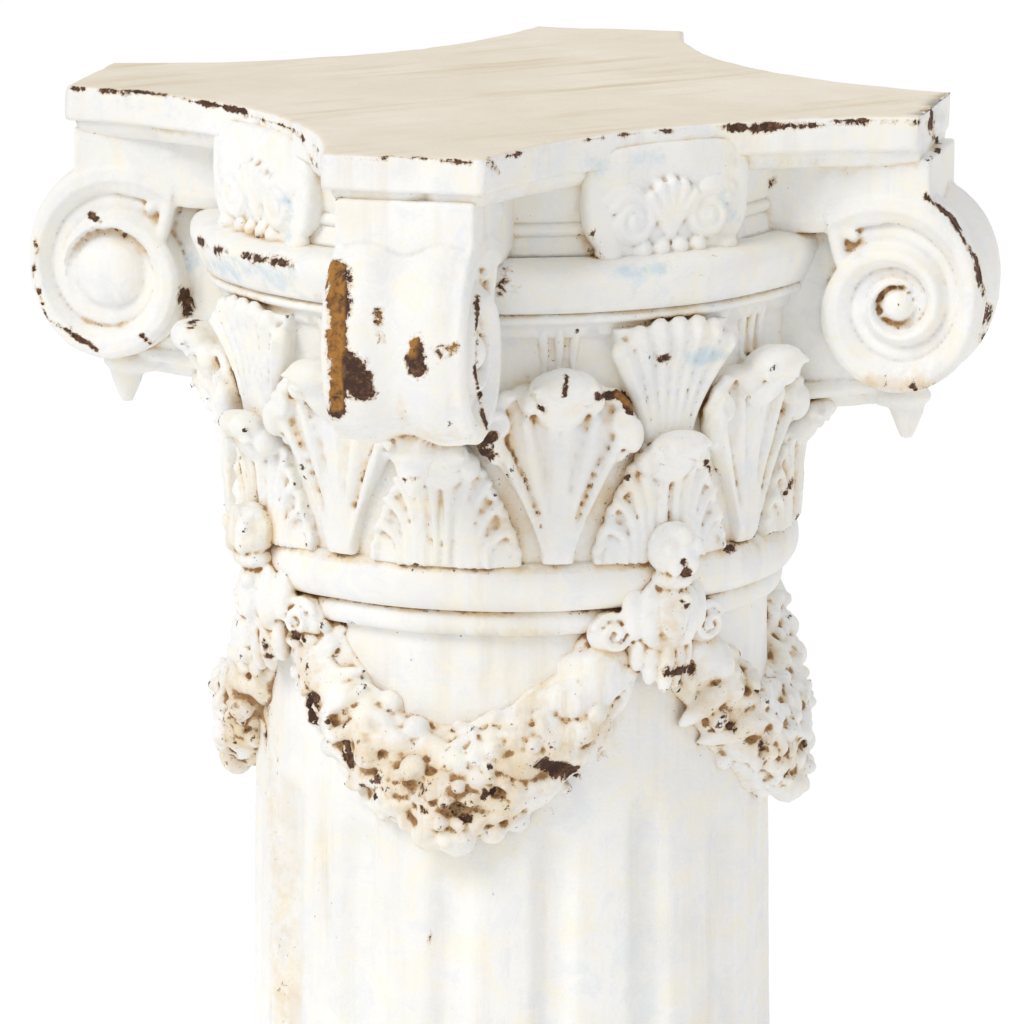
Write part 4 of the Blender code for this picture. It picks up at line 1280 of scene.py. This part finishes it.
# each mark has its half width in pixels of the picture, its strength, and the line it follows
CHIPS = {
    "right rim of the square top": [
        (4.0, 1.0, (735, 128), (800, 126)), (2.4, 0.95, (800, 126), (850, 122), (930, 122)),
        (2.0, 0.7, (700, 128), (735, 130)), (3.0, 1.0, (930, 122), (938, 150)),
        (2.4, 0.9, (925, 98), (935, 120)), (2.0, 0.9, (500, 158), (600, 138), (730, 126)),
        (2.6, 0.7, (690, 152), (702, 156))],
    "left rim of the square top": [
        (2.2, 0.95, (75, 89), (150, 93), (245, 111)), (2.0, 1.4, (246, 113), (290, 128), (318, 150)),
        (3.0, 0.8, (300, 140), (318, 168)), (2.0, 0.9, (330, 159), (405, 158), (480, 162)),
        (3.2, 1.0, (490, 158), (497, 172))],
    "left volute": [
        (2.6, 0.85, (37, 240), (33, 275), (47, 318), (97, 350)), (3.2, 0.85, (92, 216), (125, 236)),
        (3.0, 0.8, (142, 336), (150, 344)), (7.0, 0.95, (186, 296), (192, 322))],
    "front volute": [
        (8.0, 1.25, (338, 268), (338, 408)), (11.0, 1.2, (350, 362), (358, 392)),
        (5.0, 1.0, (378, 312), (379, 340)), (7.0, 1.0, (415, 342), (418, 368)),
        (5.5, 0.9, (440, 352), (456, 346)), (2.4, 1.0, (477, 298), (475, 372), (482, 410), (490, 434)),
        (5.5, 1.0, (482, 452), (490, 456)), (3.5, 1.0, (494, 436), (476, 446))],
    "right volute": [
        (2.8, 0.95, (925, 196), (950, 218), (975, 258), (985, 300)), (5.6, 0.9, (986, 304), (981, 345))],
    "neck and ovolo": [
        (4.2, 0.82, (200, 242), (228, 253)), (5.2, 0.84, (244, 256), (292, 267)),
        (3.8, 0.9, (688, 274), (712, 279)), (1.6, 0.8, (738, 283), (748, 277)),
        (4.6, 0.95, (498, 290), (508, 270)), (3.4, 0.9, (512, 282), (522, 292)),
        (5.0, 0.8, (770, 186), (775, 180)), (3.0, 0.7, (575, 188), (560, 190))],
    "leaves": [
        (4.0, 1.0, (598, 396), (622, 394), (631, 410)), (3.0, 0.9, (566, 378), (563, 396)),
        (4.0, 0.9, (660, 358), (668, 357)), (3.5, 0.7, (524, 372), (530, 392), (544, 410)),
        (3.0, 0.9, (786, 493), (793, 480)), (4.5, 1.0, (707, 462), (713, 470)),
        (3.0, 0.8, (405, 480), (420, 478)), (4.5, 1.0, (722, 552), (730, 548))],
    "middle swag": [
        (6.0, 1.0, (311, 700), (312, 725)), (5.0, 0.9, (345, 745), (348, 765)),
        (4.0, 0.9, (358, 785), (366, 792)), (6.0, 1.0, (455, 812), (468, 818)),
        (5.0, 0.9, (420, 808), (424, 812)), (4.5, 0.9, (418, 780), (420, 795)),
        (4.5, 0.9, (485, 795), (494, 792)), (7.0, 0.9, (545, 768), (575, 775)),
        (3.5, 0.8, (585, 770), (610, 750))],
    "side swags": [
        (3.5, 0.9, (762, 740), (764, 752)), (3.5, 0.9, (805, 745), (812, 740)),
        (3.5, 0.8, (727, 722), (735, 730))],
    "pendants": [
        (4.5, 1.0, (293, 635), (303, 640)), (4.0, 0.8, (265, 640), (268, 655)),
        (7.0, 0.9, (668, 672), (688, 670)), (4.0, 1.0, (683, 563), (686, 572)),
        (4.0, 0.9, (682, 602), (686, 606))],
    "shaft": [
        (1.5, 0.8, (430, 935), (431, 966)), (1.5, 0.8, (636, 889), (660, 905)),
        (2.2, 0.8, (655, 775), (650, 792)), (1.3, 0.7, (283, 920), (282, 1020))],
}
STAINS = {
    "square top": [
        (3.0, 0.7, (150, 128), (240, 146)), (3.0, 0.6, (700, 160), (925, 166)),
        (18.0, 0.5, (300, 130), (325, 160)), (14.0, 0.6, (935, 105), (935, 135))],
    "volutes": [
        (11.0, 1.2, (872, 384), (925, 386)), (6.0, 0.6, (846, 176), (852, 225), (864, 264)),
        (6.0, 0.4, (880, 300), (900, 305)), (20.0, 0.5, (190, 300), (195, 330)),
        (9.0, 0.7, (84, 322), (126, 328)), (14.0, 0.6, (345, 430), (470, 440)),
        (9.0, 0.6, (400, 385), (403, 430)), (12.0, 0.45, (440, 395), (470, 425))],
    "neck and ovolo": [
        (7.0, 0.8, (588, 238), (594, 262)), (10.0, 0.5, (220, 215), (260, 235))],
    "leaves": [
        (16.0, 0.5, (505, 505), (520, 530)), (14.0, 0.6, (600, 500), (630, 480)),
        (10.0, 0.5, (525, 385), (540, 410)), (24.0, 0.45, (230, 420), (262, 540)),
        (14.0, 0.55, (205, 340), (240, 420)), (12.0, 0.5, (790, 470), (802, 530)),
        (14.0, 0.45, (405, 470), (430, 530)), (9.0, 0.6, (500, 520), (510, 470), (500, 440)),
        (8.0, 0.6, (605, 520), (640, 450))],
    "torus and ring": [
        (14.0, 0.6, (725, 555), (745, 545)),
        (3.5, 0.9, (292, 553), (380, 565), (460, 571), (560, 572), (645, 566)),
        (3.5, 0.8, (705, 560), (790, 535)), (3.0, 0.6, (330, 622), (450, 634), (590, 632))],
    "swags": [
        (20.0, 0.7, (350, 740), (420, 800)), (26.0, 0.7, (420, 800), (500, 800)),
        (24.0, 0.6, (500, 780), (610, 730)), (22.0, 0.7, (235, 700), (230, 760)),
        (22.0, 0.6, (700, 700), (790, 760)), (14.0, 0.6, (300, 640), (318, 730))],
    "pendants": [
        (22.0, 0.6, (665, 600), (680, 675)), (12.0, 0.6, (265, 620), (268, 655))],
    "shaft": [
        (30.0, 0.7, (268, 700), (285, 1020)), (14.0, 0.5, (320, 850), (325, 1000))],
}
GILDED = {
    "front volute": [
        (8.5, 1.0, (336, 268), (336, 350)), (7.0, 1.0, (334, 350), (336, 405)),
        (5.0, 0.8, (380, 312), (381, 340)), (7.0, 0.8, (412, 340), (413, 352)),
        (6.0, 0.9, (450, 350), (458, 346))],
    "leaves": [
        (5.0, 0.7, (618, 394), (631, 408))],
}
WASHES = {
    "square top": [
        (16.0, 0.6, (590, 165), (660, 160)), (22.0, 0.4, (520, 150), (600, 140)),
        (16.0, 0.4, (90, 100), (240, 120))],
    "blocks with curls": [
        (9.0, 0.8, (722, 198), (735, 215)), (8.0, 0.8, (288, 200), (290, 235)),
        (10.0, 0.5, (240, 180), (250, 230))],
    "ovolo and neck": [
        (14.0, 0.8, (200, 262), (285, 280)), (9.0, 0.9, (620, 272), (670, 266)),
        (12.0, 0.5, (700, 300), (620, 290)), (10.0, 0.5, (920, 190), (945, 215))],
    "fan": [
        (7.0, 1.0, (690, 357), (738, 357))],
}

# %% From the picture onto the surface
PIT_DEPTH = 0.0032
# a stain all over the pieces whose carving holds the most dirt
GRIME = {"swags": 0.40, "pendants": 0.20, "high_leaves": 0.04, "low_leaves": 0.10}
# in half widths: where a mark has faded out, and how far off its points are looked for
MARK_END = 2.0
SEARCH_END = 2.2
# points that face farther away from the camera than this take no mark
TURNED_AWAY = -0.2


def to_picture(points):
    """Where points fall in the picture, and how deep they lie."""
    seen = (points - eye_place) @ view
    depth = -seen[:, 2]
    across = FRAME_PIXELS / 2 + FOCAL * seen[:, 0] / depth
    down = FRAME_PIXELS / 2 - FOCAL * seen[:, 1] / depth
    return np.stack([across, down], -1), depth


def first_hit(x, y):
    """Depth of what a place in the picture shows."""
    way = view @ np.array([(x - FRAME_PIXELS / 2) / FOCAL, (FRAME_PIXELS / 2 - y) / FOCAL, -1.0])
    found = tree_of_all.ray_cast(eye_place.tolist(), way.tolist())[0]
    return None if found is None else float(to_picture(np.array([found]))[1][0])


def line_samples(line, gap=5.0):
    """Places along a mark's line with the depth of what they show."""
    samples = []
    for (x0, y0), (x1, y1) in zip(line, line[1:]):
        steps = max(1, int(math.hypot(x1 - x0, y1 - y0) / gap))
        for k in range(steps + 1):
            x, y = mix(x0, x1, k / steps), mix(y0, y1, k / steps)
            depth = first_hit(x, y)
            if depth is not None:
                samples.append((x, y, depth))
    return samples


def marked(places, depths, facing, marks, tolerance=0.012):
    """How strongly each point takes a group of marks, fading over each mark's half width."""
    values = np.zeros(len(places))
    for half, strength, *line in sum(marks.values(), []):
        samples = line_samples(line)
        if not samples:
            continue
        samples = np.array(samples)
        reach = half * SEARCH_END
        box_low, box_high = samples[:, :2].min(0) - reach, samples[:, :2].max(0) + reach
        near = np.flatnonzero(((places > box_low) & (places < box_high)).all(1) & facing)
        if not len(near):
            continue
        gap = np.linalg.norm(places[near][:, None] - samples[None, :, :2], axis=-1)
        best = gap.argmin(1)
        level = abs(depths[near] - samples[best, 2]) < tolerance
        value = strength * np.clip(1 - gap.min(1) / (half * MARK_END), 0, 1) * level
        values[near] = np.maximum(values[near], value)
    return values


for piece in PIECES:
    points, normals, edges = arrays(piece.data)
    places, depths = to_picture(points)
    facing = ((eye_place - points) * normals).sum(1) > TURNED_AWAY
    for name, marks in (("chipped", CHIPS), ("gilded", GILDED), ("stained", STAINS), ("blue_wash", WASHES)):
        values = averaged(marked(places, depths, facing, marks), edges, 1)
        if name == "chipped" and piece.name == "swags":
            sunk = points - normals * np.clip(values, 0, 1) * PIT_DEPTH
            piece.data.vertices.foreach_set("co", sunk.astype(np.float32).ravel())
        if name == "stained":
            values = values + GRIME.get(piece.name, 0.0)
        keep(piece.data, name, values)
counts = [sum(len(marks) for marks in group.values()) for group in (CHIPS, STAINS, WASHES)]
print(counts[0], "chips,", counts[1], "stains and", counts[2], "washes of blue")

# %% [markdown]
# ## Old white paint
# The paint is cream in the light and greyer where it is thin. Over it lie, in order, faint streaks
# that run down, cool and warm patches, painted shade in grey along the creases, ochre in the hollows
# and along the creases, brown specks, touches of blue, a warm rim round each chip, and the chip
# itself, which shows the brown ground and in a few places old gold. Each layer is a mask that mixes
# one colour in, made from an attribute and noise on Object coordinates, so nothing repeats and
# nothing slides.

# %% Helpers for the paint's nodes
def shade(red, green, blue):
    """A colour as it looks on a screen, from 0 to 255, for a shader's socket."""
    linear = [((v / 255 + 0.055) / 1.055) ** 2.4 if v > 10 else v / 255 / 12.92 for v in (red, green, blue)]
    return (*linear, 1.0)


class Paint:
    """A material's nodes, made one by one with short calls."""

    def __init__(self, material):
        material.use_nodes = True
        self.tree = material.node_tree
        self.tree.nodes.clear()
        self.place = self.node("ShaderNodeTexCoord").outputs["Object"]

    def node(self, kind, **settings):
        made = self.tree.nodes.new(kind)
        for name, value in settings.items():
            setattr(made, name, value)
        return made

    def feed(self, socket, value):
        if isinstance(value, bpy.types.NodeSocket):
            self.tree.links.new(value, socket)
        else:
            socket.default_value = value

    def attribute(self, name):
        return self.node("ShaderNodeAttribute", attribute_name=name).outputs["Fac"]

    def moved(self, scale=(1, 1, 1), turn=0.0):
        mapping = self.node("ShaderNodeMapping")
        self.feed(mapping.inputs["Vector"], self.place)
        mapping.inputs["Scale"].default_value = scale
        mapping.inputs["Rotation"].default_value = (0, 0, turn)
        return mapping.outputs[0]

    def noise(self, scale, detail=4.0, rough=0.55, place=None, twist=0.0):
        made = self.node("ShaderNodeTexNoise")
        self.feed(made.inputs["Vector"], place or self.place)
        made.inputs["Scale"].default_value = scale
        made.inputs["Detail"].default_value = detail
        made.inputs["Roughness"].default_value = rough
        made.inputs["Distortion"].default_value = twist
        return made.outputs["Fac"]

    def maths(self, kind, *values):
        made = self.node("ShaderNodeMath", operation=kind)
        for socket, value in zip(made.inputs, values):
            self.feed(socket, value)
        return made.outputs[0]

    def add(self, first, *others):
        for other in others:
            first = self.maths("ADD", first, other)
        return first

    def times(self, first, second):
        return self.maths("MULTIPLY", first, second)

    def around(self, value, strength):
        return self.times(self.maths("SUBTRACT", value, 0.5), strength)

    def ramp(self, value, start, end):
        made = self.node("ShaderNodeMapRange", interpolation_type="SMOOTHSTEP")
        self.feed(made.inputs["Value"], value)
        made.inputs["From Min"].default_value = start
        made.inputs["From Max"].default_value = end
        return made.outputs[0]

    def layer(self, under, over, mask, strength=None):
        made = self.node("ShaderNodeMix", data_type="RGBA")
        self.feed(made.inputs["Factor"], mask if strength is None else self.times(mask, strength))
        self.feed(made.inputs[6], under)
        self.feed(made.inputs[7], over)
        return made.outputs[2]


# %% Paint on the carving and the shaft
DRIP = shade(218, 196, 154)
COOL_PATCH, WARM_PATCH = shade(230, 234, 238), shade(250, 242, 218)
# grey painted shade that darkens the creases, so that the carved ribs read as shaded lines
PAINTED_CREASE_SHADE = shade(186, 184, 190)
WARM_FILM, OCHRE_LINE, DEEP_OCHRE = shade(226, 200, 156), shade(180, 140, 84), shade(150, 106, 54)
SPECK = shade(104, 72, 42)
PALE_BLUE = shade(176, 208, 224)
CHIP_RIM = shade(206, 172, 124)
DARK_BROWN, LIGHT_BROWN, OLD_GOLD = shade(66, 41, 29), shade(124, 88, 60), shade(170, 118, 50)
BUMP_STRENGTH = 0.55
BUMP_DISTANCE = 0.0011
GLOSS = 0.4


def old_white_paint(material, ground, streaks, streak_turn, top):
    """The whole finish. Streaks run along the place's stretched axis."""
    p = Paint(material)
    shut, proud, stained = p.attribute("shut_in"), p.attribute("proud"), p.attribute("stained")
    crease = p.maths("MAXIMUM", p.times(proud, -1.0), 0.0)
    blotch, fine = p.noise(38.0, 5.0, 0.6), p.noise(210.0, 6.0, 0.65)
    thin = p.ramp(p.add(p.noise(7.0, 3.0), p.times(blotch, 0.35)), 0.45, 0.85)
    colour = p.layer(ground[0], ground[1], thin)
    # streaks and patches
    run = p.noise(48.0, 6.0, 0.68, p.moved(streaks, streak_turn))
    drips = p.times(p.ramp(run, 0.46, 0.68), p.ramp(p.noise(9.0, 3.0), 0.40, 0.62))
    drips = p.times(drips, p.maths("MULTIPLY_ADD", stained, 0.9, 0.75 if top else 0.26))
    colour = p.layer(colour, DRIP, drips)
    patch = p.noise(55.0, 6.0, 0.7, twist=0.5)
    colour = p.layer(colour, COOL_PATCH, p.ramp(patch, 0.50, 0.62), 0.0 if top else 0.40)
    colour = p.layer(colour, WARM_PATCH, p.ramp(patch, 0.50, 0.36), 0.0 if top else 0.45)
    # hollows and creases: painted shade in grey along the creases, then ochre dirt in the hollows and along
    # the creases, and brown specks
    colour = p.layer(colour, PAINTED_CREASE_SHADE, p.ramp(crease, 0.10, 0.60), 0.45)
    hollow = p.add(shut, p.times(stained, 0.46), p.times(crease, 0.62))
    warm = p.ramp(p.add(hollow, p.add(p.times(blotch, 0.70), p.times(fine, 0.50))), 0.80, 1.24)
    colour = p.layer(colour, WARM_FILM, warm, 0.74)
    lines = p.add(crease, p.maths("MULTIPLY_ADD", stained, 0.30, p.times(fine, 0.5)))
    colour = p.layer(colour, OCHRE_LINE, p.ramp(lines, 0.62, 0.98), 0.70)
    deep = p.ramp(p.add(hollow, p.noise(120.0, 6.0, 0.7)), 1.04, 1.22)
    colour = p.layer(colour, DEEP_OCHRE, deep, 0.85)
    specks = p.ramp(p.add(p.noise(330.0, 4.0, 0.7), p.times(hollow, 0.24)), 0.72, 0.78)
    colour = p.layer(colour, SPECK, specks, 0.80)
    # touches of blue
    wash = p.add(p.attribute("blue_wash"), p.around(p.noise(95.0, 6.0, 0.68), 2.2))
    colour = p.layer(colour, PALE_BLUE, p.ramp(wash, 0.34, 1.0), 0.50)
    # chips, large where the marks are and small on proud edges
    chipped = p.attribute("chipped")
    broken = p.add(p.around(p.noise(190.0, 7.0, 0.75, twist=0.6), 1.5), p.around(p.noise(62.0, 3.0), 1.6))
    loss = p.add(broken, chipped)
    rim = p.times(p.ramp(loss, 0.30, 0.52), p.ramp(chipped, 0.06, 0.20))
    colour = p.layer(colour, CHIP_RIM, rim, 0.55)
    small = p.add(p.noise(64.0, 8.0, 0.75), p.times(p.maths("MAXIMUM", proud, 0.0), 0.13))
    small = p.ramp(p.add(small, p.times(stained, 0.08)), 0.705, 0.725)
    chip = p.times(p.ramp(loss, 0.50, 0.56), p.ramp(chipped, 0.08, 0.16))
    chip = p.maths("MAXIMUM", chip, small)
    gold = p.times(p.ramp(p.attribute("gilded"), 0.30, 0.62), p.ramp(p.noise(150.0, 6.0, 0.75), 0.34, 0.56))
    brown = p.layer(DARK_BROWN, LIGHT_BROWN, p.ramp(p.noise(240.0, 6.0, 0.8), 0.46, 0.66))
    colour = p.layer(colour, p.layer(brown, OLD_GOLD, gold), chip)
    # relief and gloss
    bump = p.add(p.times(fine, 0.55), p.times(p.noise(620.0, 3.0, 0.6), 0.25), p.times(run, 0.6),
                 p.times(blotch, 0.8), p.times(patch, 1.4))
    bump = p.maths("SUBTRACT", bump, p.times(chip, 0.9))
    relief = p.node("ShaderNodeBump")
    relief.inputs["Strength"].default_value = BUMP_STRENGTH
    relief.inputs["Distance"].default_value = BUMP_DISTANCE
    p.feed(relief.inputs["Height"], bump)
    shader = p.node("ShaderNodeBsdfPrincipled")
    p.feed(shader.inputs["Base Color"], colour)
    p.feed(shader.inputs["Normal"], relief.outputs[0])
    dull = p.add(p.times(chip, 0.25), p.maths("MULTIPLY_ADD", fine, 0.20, 0.42))
    p.feed(shader.inputs["Roughness"], dull)
    shader.inputs["Specular IOR Level"].default_value = GLOSS
    made = p.node("ShaderNodeOutputMaterial")
    p.feed(made.inputs["Surface"], shader.outputs[0])


old_white_paint(WHITE, (shade(251, 250, 247), shade(241, 239, 233)), (1, 1, 0.06), 0.0, False)
old_white_paint(TOP, (shade(247, 237, 218), shade(238, 225, 203)), (0.08, 1, 1), -AZIMUTH, True)

square_top.data.materials.append(TOP)
face_normals = np.empty(len(square_top.data.polygons) * 3, np.float32)
square_top.data.polygons.foreach_get("normal", face_normals)
upward = face_normals.reshape(-1, 3)[:, 2] > 0.75
square_top.data.polygons.foreach_set("material_index", upward.astype(np.int32))
print("materials", [m.name for m in bpy.data.materials if m.use_nodes])

# %% [markdown]
# ## Floor
# A wide pale floor stands in for the studio's paper. It is no part of the column.

# %% Floor
floor = bpy.data.objects.new("floor", bpy.data.meshes.new("floor"))
FLOOR_HALF = 14.0
corners = [(x * FLOOR_HALF, y * FLOOR_HALF, 0) for x, y in ((-1, -1), (1, -1), (1, 1), (-1, 1))]
floor.data.from_pydata(corners, [], [(0, 1, 2, 3)])
paper = bpy.data.materials.new("pale_paper")
paper.use_nodes = True
for socket, value in (("Base Color", shade(252, 252, 252)), ("Roughness", 0.9),
                      ("Emission Color", (1, 1, 1, 1)), ("Emission Strength", 0.12)):
    paper.node_tree.nodes["Principled BSDF"].inputs[socket].default_value = value
floor.data.materials.append(paper)
scene.collection.objects.link(floor)

# %% [markdown]
# ## Hand over
# Every piece rides on the column's one body. The pieces together stand for the plain solid, which
# is then hidden.

# %% Ride and replace
for piece in PIECES:
    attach(piece, "root")
    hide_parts("column")
total = sum(len(piece.data.loop_triangles) for piece in PIECES)
print(len(PIECES), "pieces,", total, "triangles")
